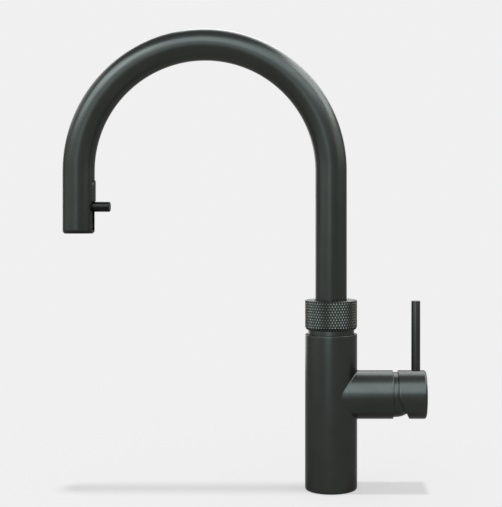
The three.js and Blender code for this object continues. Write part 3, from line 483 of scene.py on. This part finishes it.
low, high = node_box("knurled_ring")
RING_R, RING_FOOT, RING_TOP = high.x, low.z, high.z
RING_MOUTH_R, RING_MOUTH_DEPTH, RING_BORE_R, RING_FOOT_R = 15.1, 5.5, 20.9, 21.4
CLIP_R, CLIP_FOOT, CLIP_TOP = 21.7, 157.3, 158.5
TEETH, KNURL_DEPTH, TIP_SHARE = 56, 0.72, 0.18  # a tip is flat over this share of its tooth
KNURL_FOOT, KNURL_TOP = RING_FOOT + 0.35, RING_TOP - 0.45
LEAST_ROW = 2.18
KNURL_ROWS = int((KNURL_TOP - KNURL_FOOT) / LEAST_ROW)
ROW_HEIGHT = (KNURL_TOP - KNURL_FOOT) / KNURL_ROWS
HALF_TOOTH = math.pi / TEETH
VALLEY_R, TIP_R = RING_R - KNURL_DEPTH, RING_R - KNURL_DEPTH * TIP_SHARE
KNURL_FROM_R, PLAIN_WEAR_AND_SHADE = 21.8, 0.4  # inside this radius the ring is plain, and its colour takes this share between the grooves' painted shade and the tips' painted highlight
LEAN_HEIGHT, LEAN_SLOPE = 1.7, 0.9


def lean(z):
    """How far the ring's lower chamfer turns the knurl down at a height."""
    return LEAN_SLOPE * max(0.0, LEAN_HEIGHT - (z - RING_FOOT))


def knurl(build):
    """Real diamond knurling: small pyramids with flat tips, and half ones at both ends."""
    def point(i, j, r):
        z = KNURL_FOOT + j * ROW_HEIGHT
        return on_column(r - lean(z), i * HALF_TOOTH, z)

    for j in range(KNURL_ROWS + 1):
        for i in range(j % 2, 2 * TEETH, 2):
            tip = [(i + TIP_SHARE, j), (i, j + TIP_SHARE), (i - TIP_SHARE, j), (i, j - TIP_SHARE)]
            corners = [(i + 1, j), (i, j + 1), (i - 1, j), (i, j - 1)]
            if j == KNURL_ROWS:
                tip[1], corners[1] = (i, j), None
            if j == 0:
                tip[3], corners[3] = (i, j), None
            verts = [point(a, b, TIP_R) for a, b in tip]
            index = {}
            for k, corner in enumerate(corners):
                if corner:
                    index[k] = len(verts)
                    verts.append(point(*corner, VALLEY_R))
            faces = [(0, 1, 2, 3)]
            for k in range(4):
                n = (k + 1) % 4
                foot = [index[m] for m in (k, n) if m in index]
                faces.append((*foot, n, k))
            build.add(verts, faces)


def ring():
    build = Build()
    knurl(build)

    def edge_row(z, j):
        """The knurl's end row: tips and valleys by turns."""
        row = []
        for i in range(2 * TEETH):
            if (i + j) % 2:
                row.append(on_column(VALLEY_R - lean(z), i * HALF_TOOTH, z))
            else:
                row += [on_column(TIP_R - lean(z), (i + side * TIP_SHARE) * HALF_TOOTH, z)
                        for side in (-1, 0, 1)]
        return row

    mouth, bore = RING_MOUTH_R, RING_BORE_R
    mouth_foot, bore_foot = RING_TOP - RING_MOUTH_DEPTH, RING_FOOT + 0.15
    above = [(RING_R - 0.66, KNURL_TOP + 0.18), (RING_R - 0.80, RING_TOP - 0.08),
             (RING_R - 0.95, RING_TOP), (mouth + 0.7, RING_TOP), (mouth + 0.2, RING_TOP - 0.2),
             (mouth, RING_TOP - 0.7), (mouth, mouth_foot), (bore, mouth_foot), (bore, CLIP_TOP),
             (CLIP_R, CLIP_TOP), (CLIP_R, CLIP_FOOT), (bore, CLIP_FOOT)]
    below = [(RING_FOOT_R, RING_FOOT + 0.1), (RING_FOOT_R - 0.1, RING_FOOT),
             (bore + 0.15, RING_FOOT), (bore, bore_foot)]
    for z, j, circles in ((KNURL_TOP, KNURL_ROWS, above), (KNURL_FOOT, 0, below)):
        row = edge_row(z, j)
        turns = [math.atan2(y, x) for x, y, _ in row]
        build.rows([row] + [[on_column(r, t, h) for t in turns] for r, h in circles], closed=True)
    # between the clip's groove and the foot the bore is two even circles
    build.rows([[on_column(bore, t, z) for t in full_turn(160)] for z in (bore_foot, CLIP_FOOT)],
               closed=True)
    obj = make("ring_knurl", build.verts, build.faces, "ring", knurled,
               ["knurled_ring"], smooth=math.radians(12))
    # 0 in the grooves, which are darkened as painted shade, to 1 at the tips, which are lightened
    # partly by wear and partly as a painted highlight
    wear_and_shade = obj.data.attributes.new("wear_and_shade", "FLOAT", "POINT")
    for vertex, value in zip(obj.data.vertices, wear_and_shade.data):
        x, y, z = vertex.co / MM
        r = math.hypot(x, y) + lean(z)
        share = max(0.0, min(1.0, (r - VALLEY_R) / (TIP_R - VALLEY_R)))
        value.value = share if r > KNURL_FROM_R else PLAIN_WEAR_AND_SHADE


ring()

# ---- Spout -----------------------------------------------------------------------------------------

tube_low, _ = node_box("spout_tube")
SPOUT_R, SPOUT_BORE_R = 14.0, 12.5
REACH = -(tube_low.x + SPOUT_R)
ARC_Z, OUTLET_Z, SPOUT_FOOT = 282.2, 228.8, tube_low.z
ARC_R = REACH / 2
SLOT_HALF, SLOT_ARC_Z = 4.8, 269.4


def on_arc(share):
    """The station at a share of the centre line's half turn: its x, its z and how far it tilts."""
    a = math.pi * share
    return (-ARC_R + ARC_R * math.cos(a), ARC_Z + ARC_R * math.sin(a), a)


def hoop(radius, x, z, tilt, count):
    """A circle round a station of the centre line."""
    return [(x + radius * math.cos(t) * math.cos(tilt), radius * math.sin(t),
             z + radius * math.cos(t) * math.sin(tilt)) for t in full_turn(count)]


def spout():
    build = Build()
    turns, eighth = 144, 18  # steps around the pipe, and in 45 degrees of it
    riser_steps, arc_steps, leg_steps, patch_steps = 40, 128, 54, 8
    edge, bevel, corner = 0.3, 0.22, math.pi / 4
    step = 2 * math.pi / turns
    start = SPOUT_FOOT + edge
    stations = [(0, start + (ARC_Z - start) * k / riser_steps, 0) for k in range(riser_steps + 1)]
    stations += [on_arc(k / arc_steps) for k in range(1, arc_steps + 1)]
    for radius in (SPOUT_R, SPOUT_BORE_R):
        build.rows([hoop(radius, *station, turns) for station in stations], closed=True)
    foot_rim = ((SPOUT_R, start), (SPOUT_R - edge, SPOUT_FOOT), (SPOUT_BORE_R + 0.1, SPOUT_FOOT),
                (SPOUT_BORE_R, start))
    build.rows([hoop(r, 0, z, 0, turns) for r, z in foot_rim], closed=True)

    # the outlet's leg, with its slot towards +X
    def leg(radius, theta, z):
        """A point of the leg, with theta counted from +X."""
        return (-REACH + radius * math.cos(theta), radius * math.sin(theta), z)

    foot = OUTLET_Z + edge
    levels = [foot + (ARC_Z - foot) * j / leg_steps for j in range(leg_steps + 1)]
    far_side = [corner + step * k for k in range(turns - 2 * eighth + 1)]
    for radius in (SPOUT_R, SPOUT_BORE_R):
        build.rows([[leg(radius, t, z) for t in far_side] for z in levels])

    # the slot's side, from an arch of its own to a frame at 45 degrees to both sides
    frame_path = [(-corner, z) for z in levels]
    frame_path += [(-corner + step * k, ARC_Z) for k in range(1, 2 * eighth)]
    frame_path += [(corner, z) for z in reversed(levels)]

    def slot_path(grow):
        half = SLOT_HALF + grow
        heights = [foot + (SLOT_ARC_Z - foot) * j / leg_steps for j in range(leg_steps + 1)]
        path = [(-half, z) for z in heights]
        for k in range(1, 2 * eighth):
            a = math.pi * (1 - k / (2 * eighth))
            path.append((half * math.cos(a), SLOT_ARC_Z + half * math.sin(a)))
        return path + [(half, z) for z in reversed(heights)]

    for radius, grow in ((SPOUT_R, bevel), (SPOUT_BORE_R, 0)):
        rows = []
        for j in range(patch_steps + 1):
            row = []
            for (y, z), frame_point in zip(slot_path(grow), frame_path):
                slot_point = (math.asin(y / radius), z)
                row.append(leg(radius, *between(slot_point, frame_point, j / patch_steps)))
            rows.append(row)
        build.rows(rows)
    build.rows([[(-REACH + math.sqrt(radius ** 2 - y * y), y, z) for y, z in slot_path(grow)]
                for radius, grow in ((SPOUT_R, bevel), (SPOUT_R - bevel * 0.45, bevel * 0.35),
                                     (SPOUT_R - bevel, 0), (SPOUT_BORE_R, 0))])

    # the outlet's end, open where the slot is
    def end_row(radius, z, grow):
        edge_turn = math.asin((SLOT_HALF + grow) / radius)
        fan = [(corner - edge_turn) * k / patch_steps for k in range(patch_steps + 1)]
        angles = [edge_turn + t for t in fan[:-1]] + far_side[:-1]
        angles += [2 * math.pi - corner + t for t in fan]
        return [leg(radius, t, z) for t in angles]

    build.rows([end_row(SPOUT_R, foot, bevel),
                end_row(SPOUT_R - edge * 0.3, OUTLET_Z + edge * 0.3, bevel * 0.4),
                end_row(SPOUT_R - edge, OUTLET_Z, 0), end_row(SPOUT_BORE_R + 0.15, OUTLET_Z, 0),
                end_row(SPOUT_BORE_R, foot, 0)])
    make("spout_pipe", build.verts, build.faces, "spout", gunmetal, ["spout_tube"])


spout()

# ---- Outlet ----------------------------------------------------------------------------------------

OUTLET_AXIS = (-REACH, 0, 0)
NOZZLE_R, NOZZLE_BORE_R, AERATOR_SEAT_R = 11.96, 3.9, 9.8
AERATOR_SEAT_DEPTH, SOCKET_R, SOCKET_DEPTH = 6.0, 6.85, 12.0
SEAL_X, SEAL_R, SEAL_DEPTH, PORT_R = -REACH - 9.0, 2.95, 1.5, 1.6
KEEPER_R, KEEPER_DEPTH = 2.25, 2.6
peg_low, peg_high = node_box("grip_peg")
PEG_Z, PEG_R = (peg_high.z + peg_low.z) / 2, (peg_high.z - peg_low.z) / 2
PEG_SHANK_R, PEG_SHANK, PEG_HOLE_R, PEG_HOLE_FROM, PEG_HOLE_TO = 2.0, 5.0, 2.3, 8.5, 14

keeper_low, keeper_high = node_box("docking_keeper")
low, high = node_box("nozzle_body")
seat_top, socket_foot = low.z + AERATOR_SEAT_DEPTH, high.z - SOCKET_DEPTH
nozzle = turned("nozzle_turning", [(AERATOR_SEAT_R, low.z), (NOZZLE_R, low.z, 0.25),
                                   (NOZZLE_R, high.z, 0.4), (SOCKET_R, high.z, 0.3),
                                   (SOCKET_R, socket_foot), (NOZZLE_BORE_R, socket_foot),
                                   (NOZZLE_BORE_R, seat_top), (AERATOR_SEAT_R, seat_top)],
                "outlet", gunmetal, ["nozzle_body"], at=OUTLET_AXIS, segments=128)
cut(nozzle, rod(SEAL_R, SEAL_X, 0, high.z - SEAL_DEPTH, high.z + 1),
    rod(PORT_R, SEAL_X, 0, seat_top - 1, high.z),
    rod(KEEPER_R, (keeper_low.x + keeper_high.x) / 2, 0, high.z - KEEPER_DEPTH, high.z + 1),
    lathe([(0, PEG_HOLE_FROM), (PEG_HOLE_R, PEG_HOLE_FROM), (PEG_HOLE_R, PEG_HOLE_TO),
           (0, PEG_HOLE_TO)], 32, "X", (-REACH, 0, PEG_Z)))

LIP_R, LIP_FOOT_R, LIP_TOP, LIP_THICKNESS = 13.8, 12.3, OUTLET_Z - 0.06, 0.5
MOUTH_R, MOUTH_CHAMFER = 10.6, 1.2
low, high = node_box("outlet_ring")
turned("outlet_collar", [(AERATOR_SEAT_R, low.z + MOUTH_CHAMFER), (MOUTH_R, low.z, 0.2),
                         (LIP_FOOT_R, low.z, 0.5), (LIP_R, LIP_TOP - LIP_THICKNESS, 0.3),
                         (LIP_R, LIP_TOP, 0.1), (NOZZLE_R, LIP_TOP), (NOZZLE_R, high.z, 0.25),
                         (AERATOR_SEAT_R, high.z)],
       "outlet", black_plastic, ["outlet_ring"], at=OUTLET_AXIS, segments=128)

JET_R, JET_PITCH = 0.9, 3.2
low, high = node_box("aerator")
jets = Build()
for circle in (0, 1, 2):
    for t in full_turn(6 * circle or 1):
        x, y = circle * JET_PITCH * math.cos(t), circle * JET_PITCH * math.sin(t)
        jets.add(*rod(JET_R, x - REACH, y, low.z - 1, high.z + 1, 16))
disc = turned("aerator_disc", [(0, low.z), (high.x + REACH, low.z, 0.4), (high.x + REACH, high.z),
                               (0, high.z)],
              "outlet", black_plastic, ["aerator"], at=OUTLET_AXIS, segments=96)
cut(disc, (jets.verts, jets.faces))


def tongue():
    """The thumb piece in the slot: a strip of a cylinder with a round top and broken edges."""
    low, high = node_box("slot_tongue")
    half, bevel, set_in = 4.5, 0.35, 0.9
    face_r, back_r = high.x + REACH, low.x + REACH + set_in
    foot, arc_z = low.z, high.z - half
    side_steps, arc_steps, foot_steps = 24, 28, 12
    loops, reach = range(7), 6.001  # so that the last loop stops just short of the middle

    def row(shrink, radius):
        h, f = half - shrink, foot + shrink
        heights = [f + (arc_z - f) * j / side_steps for j in range(side_steps + 1)]
        path = [(-h, z) for z in heights]
        for k in range(1, arc_steps):
            a = math.pi * (1 - k / arc_steps)
            path.append((h * math.cos(a), arc_z + h * math.sin(a)))
        path += [(h, z) for z in reversed(heights)]
        path += [(h - 2 * h * k / foot_steps, f) for k in range(1, foot_steps)]
        return [(-REACH + math.sqrt(radius ** 2 - y * y), y, z) for y, z in path]

    build = Build()
    face = [row(0, back_r), row(0, face_r - bevel), row(bevel * 0.3, face_r - bevel * 0.3)]
    face += [row(bevel + (half - bevel) * k / reach, face_r) for k in loops]
    build.rows(face, closed=True)
    build.rows([row(half * k / reach, back_r) for k in loops], closed=True)
    make("thumb_tongue", build.verts, build.faces, "outlet", gunmetal, ["slot_tongue"])


tongue()
peg_step = peg_low.x + PEG_SHANK
turned("peg_turning", [(0, peg_low.x), (PEG_SHANK_R, peg_low.x, 0.3), (PEG_SHANK_R, peg_step),
                       (PEG_R, peg_step, 0.2), (PEG_R, peg_high.x, 0.8), (0, peg_high.x)],
       "outlet", dark_gunmetal, ["grip_peg"], axis="X", at=(0, 0, PEG_Z), segments=96,
       steps=8)

# ---- Mixer -----------------------------------------------------------------------------------------

DOME_X, DOME_R, DOME_WALL = 56.8, 19.8, 1.6
COLLAR_R, COLLAR_BORE_R, COLLAR_X = 19.0, 17.9, DOME_X - 1.6


def dome():
    low, high = node_box("dome_cover")
    steps, inner_r, inner_end = 26, DOME_R - DOME_WALL, math.radians(100)

    def arc(radius, start, end):
        turns = [start + (end - start) * k / steps for k in range(steps + 1)]
        return [(radius * math.sin(a), DOME_X + radius * math.cos(a)) for a in turns]

    def open_end(radius):
        return math.acos((high.x - DOME_X) / radius)

    profile = arc(DOME_R, math.acos((COLLAR_X - DOME_X) / DOME_R), open_end(DOME_R))
    profile += arc(inner_r, open_end(inner_r), inner_end)
    profile += [(COLLAR_BORE_R, low.x), (COLLAR_R, low.x), (COLLAR_R, COLLAR_X)]
    verts, faces = lathe(profile, 160, "X", (0, 0, ARM_Z))
    make("dome_turning", verts, faces, "root", gunmetal, ["dome_cover"])


dome()

PIN_HOLE_R, SCREW_X, SCREW_HOLE_R = 4.01, 79.0, 2.8
CAVITY_R, CAVITY_FLOOR_X, STEM_SOCKET_R, STEM_SOCKET_X = 19.95, 75.2, 5.95, 82.1
CAP_SLANT, CAP_FILLET, CAP_EDGE, HOLE_DEPTH = math.tan(math.radians(25)), 2.0, 0.22, 3.5
pin_low, pin_high = node_box("lever_pin")
PIN_X, PIN_R = (pin_low.x + pin_high.x) / 2, 4.0


def cap():
    """The lever's cap: a cup over the dome, cut back below, with holes for the pin and a screw."""
    low, high = node_box("handle_cap")
    radius, start, end = high.z - ARM_Z, low.x, high.x
    edge, fillet, count = CAP_EDGE, CAP_FILLET, 160
    angles = full_turn(count)
    grid_x, grid_step, grid_rows, skirt_steps, end_steps, cavity_steps = 70.2, 0.3025, 40, 12, 8, 14
    hole_steps, hole_ease, settling = 8, 1.3, 30
    build = Build()

    def out(phi, x, r=radius):
        return (x, r * math.cos(phi), ARM_Z + r * math.sin(phi))

    def slanted(phi, r):
        """The cut rim's x at an angle and a radius."""
        return start + max(0.0, -math.sin(phi)) * r * CAP_SLANT

    skirt_foot = [slanted(t, radius) + edge for t in angles]
    build.rows([[out(t, x + (grid_x - x) * j / skirt_steps) for t, x in zip(angles, skirt_foot)]
                for j in range(skirt_steps + 1)], closed=True)
    # a grid of faces, with a frame left open round each hole. A hole is its x and radius, its
    # frame's middle column, half width, first and last row, and 1 on top or -1 below
    holes = ((PIN_X, PIN_HOLE_R, 40, 10, 0, 34, 1), (SCREW_X, SCREW_HOLE_R, 120, 6, 18, 40, -1))
    for j in range(grid_rows):
        for k in range(count):
            if any(at - w <= k < at + w and j0 <= j < j1 for _, _, at, w, j0, j1, _ in holes):
                continue
            a, b = angles[k], 2 * math.pi * (k + 1) / count
            x0, x1 = grid_x + grid_step * j, grid_x + grid_step * (j + 1)
            build.add([out(a, x0), out(b, x0), out(b, x1), out(a, x1)], [(0, 1, 2, 3)])
    for hole_x, hole_r, at, w, j0, j1, side in holes:
        square = [(k, j0) for k in range(at - w, at + w)] + [(at + w, j) for j in range(j0, j1)]
        square += [(k, j1) for k in range(at + w, at - w, -1)]
        square += [(at - w, j) for j in range(j1, j0, -1)]
        square = [(2 * math.pi * k / count, grid_x + grid_step * j) for k, j in square]
        middle = 2 * math.pi * at / count
        loop = []
        for phi, x in square:
            turn = math.atan2((phi - middle) * radius, x - hole_x)
            across = math.asin(hole_r * math.sin(turn) / radius)
            loop.append((middle + across, hole_x + hole_r * math.cos(turn)))
        build.rows([[out(*between(p, q, (j / hole_steps) ** hole_ease)) for p, q in zip(loop, square)]
                    for j in range(hole_steps + 1)], closed=True)
        wall = [out(phi, x) for phi, x in loop]
        build.rows([wall, [(x, y, z - side * HOLE_DEPTH) for x, y, z in wall]], closed=True)
    # the closed end
    rounding = [math.pi / 2 * n / end_steps for n in range(end_steps + 1)]
    end_circles = [(end - fillet + fillet * math.sin(a), radius - fillet * (1 - math.cos(a)))
                   for a in rounding]
    end_circles += [(end, r) for r in (15.0, 10.0, 5.0, DOT)]
    build.rows([[out(t, x, r) for t in angles] for x, r in end_circles], closed=True)

    # the open rim and the cavity over the dome
    def cavity_radius(x):
        return math.sqrt(max(CAVITY_R ** 2 - (x - DOME_X) ** 2, 0))

    inner_rim = []
    for t in angles:
        x = start
        for _ in range(settling):  # ends where the slanted rim meets the cavity
            x = slanted(t, cavity_radius(x))
        inner_rim.append(x)
    rim_rows = [[out(t, x) for t, x in zip(angles, skirt_foot)],
                [out(t, slanted(t, radius) + edge * 0.3, radius - edge * 0.3) for t in angles],
                [out(t, slanted(t, radius - edge), radius - edge) for t in angles]]
    for share in [math.sin(math.pi / 2 * j / cavity_steps) for j in range(cavity_steps + 1)]:
        across = [x + (CAVITY_FLOOR_X - x) * share for x in inner_rim]
        rim_rows.append([out(t, x, cavity_radius(x)) for t, x in zip(angles, across)])
    for r, x in ((STEM_SOCKET_R, CAVITY_FLOOR_X), (STEM_SOCKET_R, STEM_SOCKET_X), (DOT, STEM_SOCKET_X)):
        rim_rows.append([out(t, x, r) for t in angles])
    build.rows(rim_rows, closed=True)
    make("cap_turning", build.verts, build.faces, "lever", gunmetal, ["handle_cap"])


cap()
pin = turned("lever_rod", [(0, pin_low.z), (PIN_R, pin_low.z, 0.4), (PIN_R, pin_high.z, 0.5),
                           (0, pin_high.z)],
             "lever", gunmetal, ["lever_pin"], at=(PIN_X, 0, 0), segments=96)
pin.visible_glossy = False  # the cap shows no mirror image of the pin round its foot

# ---- Fixing below the worktop ----------------------------------------------------------------------

WASHER_BORE_R, FITTING_BORE_R = 16.7, 2.8


def washer(node, name, material, edge):
    low, high = node_box(node)
    turned(name, [(WASHER_BORE_R, low.z, edge), (high.x, low.z, edge), (high.x, high.z, edge),
                  (WASHER_BORE_R, high.z, edge)], "root", material, [node], segments=128)


washer("rubber_washer", "seal_washer", rubber, 0.6)
washer("clamp_washer", "clamp_plate", steel, 0.35)


def hexagon(node, name, body, bore_r, x=0.0, corner=0.6):
    """A brass hexagon with a bore and its corners turned off at both ends."""
    low, high = node_box(node)
    flat_r = (high.y - low.y) / 2 * math.cos(math.pi / 6)
    bore_edge, fall = 0.35, 0.5
    turns = full_turn(120)

    def side_r(t):
        return flat_r / math.cos(t % (math.pi / 3) - math.pi / 6)

    def face(sign, share):
        """A loop from the bore, at share 0, to the flats, at share 1."""
        row = []
        for t in turns:
            r = bore_r + bore_edge + (side_r(t) - bore_r - bore_edge) * share
            drop = max(0.0, r - (flat_r - corner)) * fall
            z = high.z - drop if sign > 0 else low.z + drop
            row.append((x + r * math.cos(t), r * math.sin(t), z))
        return row

    shares = [0, 0.25, 0.5, 0.75, 0.92, 1]
    rows = [face(1, share) for share in shares] + [face(-1, share) for share in reversed(shares)]
    for z in (low.z + bore_edge, high.z - bore_edge):
        rows.append([(x + bore_r * math.cos(t), bore_r * math.sin(t), z) for t in turns])
    build = Build()
    build.rows(rows + rows[:1], closed=True)
    make(name, build.verts, build.faces, body, brass, [node], smooth=math.radians(24))


hexagon("lock_nut", "lock_hexagon", "root", WASHER_BORE_R, corner=1.2)
fitting_low, fitting_high = node_box("boiling_fitting")
hexagon("boiling_fitting", "fitting_hexagon", "root", FITTING_BORE_R,
        x=(fitting_low.x + fitting_high.x) / 2)


def threaded_shank():
    """The shank with its thread cut as one continuous helix."""
    low, high = node_box("threaded_shank")
    outer, depth, bore = high.x, 1.15, 13.6
    pitch, per_pitch, count = 2.0, 8, 96
    start, end, run_out = low.z + 0.8, -6.0, 1.2
    crest, flank = 0.12, 0.76  # shares of the wave: the root's flat, and the flank after it
    rows = []
    for j in range(-per_pitch, int((end - start) / pitch * per_pitch) + 1):
        wave = abs(((j / per_pitch) % 1.0) * 2 - 1)
        cut_share = 1 - min(1.0, max(0.0, (wave - crest) / flank))
        row = []
        for i in range(count + 1):
            z = start + pitch * (j / per_pitch + i / count)
            fade = max(0.0, min(1.0, (z - start) / run_out, (end - z) / run_out))
            r = outer - depth * cut_share * fade
            row.append(on_column(r, 2 * math.pi * i / count, min(max(z, start), end)))
        rows.append(row)
    build = Build()
    build.rows(rows)
    circles = ((outer, end), (outer, high.z - 0.4), (outer - 0.4, high.z), (bore + 0.3, high.z),
               (bore, high.z - 0.3), (bore, low.z + 0.3), (bore + 0.3, low.z), (outer - 1.0, low.z),
               (outer, start))
    build.rows([[on_column(r, t, z) for t in full_turn(count)] for r, z in circles], closed=True)
    make("shank_thread", build.verts, build.faces, "root", brass, ["threaded_shank"])


threaded_shank()

# ---- Hoses and spring ------------------------------------------------------------------------------

HOSE_R, HOSE_BORE_R = 5.5, 3.8


def hose(name, node, body, stations):
    """A hose along stations of (centre x, centre z, tilt), open at both ends with a wall."""
    outside = [hoop(HOSE_R, *station, 40) for station in stations]
    inside = [hoop(HOSE_BORE_R, *station, 40) for station in reversed(stations)]
    build = Build()
    build.rows(outside + inside + [outside[0]], closed=True)
    return make(name, build.verts, build.faces, body, hose_braid, [node])


def straight(x, foot, top, steps):
    """Even stations from foot to top."""
    return [(x, foot + (top - foot) * k / steps, 0) for k in range(steps + 1)]


low, high = node_box("hose_column_run")
hose("column_hose", "hose_column_run", "root", straight(0, low.z, high.z, 60))

low, _ = node_box("hose_spout_run")
hose("spout_hose", "hose_spout_run", "spout",
     straight(0, low.z, ARC_Z, 50)[:-1] + [on_arc(k / 96) for k in range(97)])

low, high = node_box("hose_outlet_run")
run = hose("outlet_hose", "hose_outlet_run", None, straight(-REACH, low.z, high.z, 40))
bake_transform(run)

hexagon("hose_coupling", "coupling_hexagon", "outlet", HOSE_BORE_R, x=-REACH, corner=0.4)


def spring():
    """The ring's return spring, wound from round wire with flat cut ends."""
    low, high = node_box("return_spring")
    wire, turns, per_turn = 0.65, 3.5, 56
    section = full_turn(16)
    mean = high.y - wire
    foot, top = low.z + wire, high.z - wire
    steps = int(turns * per_turn)
    rows = []
    for j in range(steps + 1):
        t = 2 * math.pi * turns * j / steps
        z = foot + (top - foot) * j / steps
        rows.append([on_column(mean + wire * math.cos(a), t, z + wire * math.sin(a)) for a in section])
    build = Build()
    build.rows(rows, closed=True)
    for row in (rows[0], rows[-1]):
        build.add(row, [tuple(range(len(section)))])
    coil = make("spring_coil", build.verts, build.faces, None, steel, ["return_spring"])
    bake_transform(coil)


spring()

# ---- Every node of the frame: its slot's material, smooth where it is round -------------------------

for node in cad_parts.values():
    slots = [s.material.name.split(".")[0] for s in node.material_slots if s.material]
    for material_slot in node.material_slots:
        material_slot.material = FINISHES.get(slots[0] if slots else "", gunmetal)
    shade(node.data, math.radians(35))

# ---- Floor and world -------------------------------------------------------------------------------

scene = bpy.context.scene
scene.view_settings.view_transform = "Standard"

SEEN = ("Is Camera Ray", "Is Glossy Ray", "Is Transmission Ray")
BACKGROUND = 0.871  # what these rays see
AMBIENT = 0.25  # what all other rays meet
FLOOR_COLOUR = 0.80
FLOOR_LIT = 0.175  # the share of the floor's brightness that its own lamp gives, and a shadow takes
FLOOR_HALF, FLOOR_Z = 30000, -0.03


def backdrop_level(nodes, links, seen):
    path = nodes.new("ShaderNodeLightPath")
    return remap(nodes, links, larger(nodes, links, [path.outputs[ray] for ray in SEEN]), AMBIENT, seen)


def stage_material():
    material = bpy.data.materials.new("studio_white")
    material.use_nodes = True
    nodes, links = material.node_tree.nodes, material.node_tree.links
    nodes.remove(nodes["Principled BSDF"])
    diffuse = nodes.new("ShaderNodeBsdfDiffuse")
    diffuse.inputs["Color"].default_value = (FLOOR_COLOUR, FLOOR_COLOUR, FLOOR_COLOUR, 1)
    glow = nodes.new("ShaderNodeEmission")
    glow.inputs["Color"].default_value = (1, 1, 1, 1)
    level = backdrop_level(nodes, links, BACKGROUND - FLOOR_LIT - FLOOR_COLOUR * AMBIENT)
    links.new(level, glow.inputs["Strength"])
    both = nodes.new("ShaderNodeAddShader")
    links.new(diffuse.outputs[0], both.inputs[0])
    links.new(glow.outputs[0], both.inputs[1])
    links.new(both.outputs[0], nodes["Material Output"].inputs["Surface"])
    return material


corners = [(x * FLOOR_HALF, y * FLOOR_HALF, FLOOR_Z) for x, y in ((-1, -1), (1, -1), (1, 1), (-1, 1))]
floor = make("studio_floor", corners, [(0, 1, 2, 3)], None, stage_material())

world = bpy.data.worlds.new("studio")
scene.world = world
world.use_nodes = True
nodes, links = world.node_tree.nodes, world.node_tree.links
background = nodes["Background"]
background.inputs["Color"].default_value = (1, 1, 1, 1)
links.new(backdrop_level(nodes, links, BACKGROUND), background.inputs["Strength"])

# ---- Lamps -----------------------------------------------------------------------------------------

only_floor = bpy.data.collections.new("floor_light")
only_floor.objects.link(floor)


def all_but(name, *left_out):
    """A lamp's receivers: everything but the pieces left out."""
    group = bpy.data.collections.new(name)
    for piece in left_out:
        group.objects.link(bpy.data.objects[piece])
    for member in group.collection_objects:
        member.light_linking.link_state = "EXCLUDE"
    return group


not_floor = all_but("studio_light", "studio_floor")
low_pieces = all_but("low_light", "studio_floor", "spout_pipe", "nozzle_turning", "outlet_collar",
                     "thumb_tongue", "peg_turning")

WHITE, ICE, SKY = (1, 1, 1), (0.80, 0.92, 1.0), (0.86, 0.95, 1.0)
PALE, HAZE = (0.92, 0.97, 1.0), (0.94, 0.95, 1.0)
AQUA, PALE_AQUA, DEEP_AQUA = (0.84, 1.0, 1.0), (0.92, 1.0, 1.0), (0.80, 1.0, 1.0)


def panel(name, place, back, size, radiance, colour, receivers=not_floor):
    """An area lamp with its back turned to a direction. radiance is what its face shows."""
    data = bpy.data.lights.new(name, "AREA")
    data.shape = "RECTANGLE"
    data.size, data.size_y = size
    data.energy = radiance * math.pi * size[0] * size[1]
    data.color = colour
    obj = bpy.data.objects.new(name, data)
    scene.collection.objects.link(obj)
    obj.location = place
    obj.rotation_euler = Vector(back).to_track_quat("Z", "Y").to_euler()
    obj.light_linking.receiver_collection = receivers
    obj.visible_camera = False


def softbox(name, azimuth, elevation, distance, size, radiance, colour, aim_z=0.2, receivers=not_floor):
    """A panel that faces the object. Azimuth counts from the camera's side, positive to the right."""
    a, e = math.radians(azimuth), math.radians(elevation)
    direction = Vector((math.sin(a) * math.cos(e), -math.cos(a) * math.cos(e), math.sin(e)))
    direction.normalize()
    place = Vector((0, 0, aim_z)) + direction * distance
    panel(name, place, direction, size, radiance, colour, receivers)


def low_softbox(name, azimuth, size, radiance, colour):
    """A small panel near the object, because the floor hides the far ones from its lower half."""
    softbox(name, azimuth, 0, 0.60, size, radiance, colour, aim_z=0.14, receivers=low_pieces)


softbox("back_top", 166, 46, 2.5, (2.40, 1.70), 8.0, HAZE)
panel("ceiling", (-0.08, -2.40, 1.42), (0, 0.233, 0.972), (2.0, 4.05), 5.1, ICE)
softbox("left_top", -51, 34, 2.5, (1.60, 1.30), 6.5, SKY)
softbox("left_back", -116, 28, 2.5, (1.20, 1.00), 3.2, WHITE)
softbox("right_top", 100, 47, 2.5, (1.90, 1.50), 9.5, PALE)
softbox("right_front_top", 52, 57, 2.5, (1.50, 0.90), 3.8, SKY)
softbox("front_left", -12, 15, 2.4, (0.95, 1.5), 1.9, AQUA)
softbox("wide_left", -36, 12, 2.4, (1.00, 1.8), 0.75, AQUA)
softbox("left_side", -74, 14, 2.4, (2.2, 1.5), 1.0, PALE_AQUA)
softbox("right_side", 86, 22, 2.4, (3.0, 1.0), 1.8, WHITE)
softbox("left_rim", -146, 14, 2.4, (1.20, 2.2), 2.4, WHITE)
panel("arm_light", (0.05, -1.2, 0.515), (0, -0.94, 0.34), (1.6, 0.16), 4.8, ICE, receivers=low_pieces)
low_softbox("low_front", -12, (0.24, 0.22), 1.5, DEEP_AQUA)
low_softbox("low_left", -72, (0.50, 0.22), 0.35, AQUA)
low_softbox("low_rim", -148, (0.34, 0.22), 2.4, WHITE)

sun = bpy.data.objects.new("floor_lamp", bpy.data.lights.new("floor_lamp", "SUN"))
sun.data.energy = FLOOR_LIT * math.pi / FLOOR_COLOUR
sun.data.angle = math.radians(4.5)
scene.collection.objects.link(sun)
sun.location = (0, 0, 2)
sun.light_linking.receiver_collection = only_floor

# ---- Camera ----------------------------------------------------------------------------------------

camera = bpy.data.cameras.new("camera")
camera.sensor_width = 36
camera.lens = 71.0
camera.shift_x, camera.shift_y = -0.158, -0.056
view = bpy.data.objects.new("camera", camera)
scene.collection.objects.link(view)
view.location = (0.0, -0.890, 0.234)
view.rotation_euler = (math.radians(90), 0, 0)
scene.camera = view
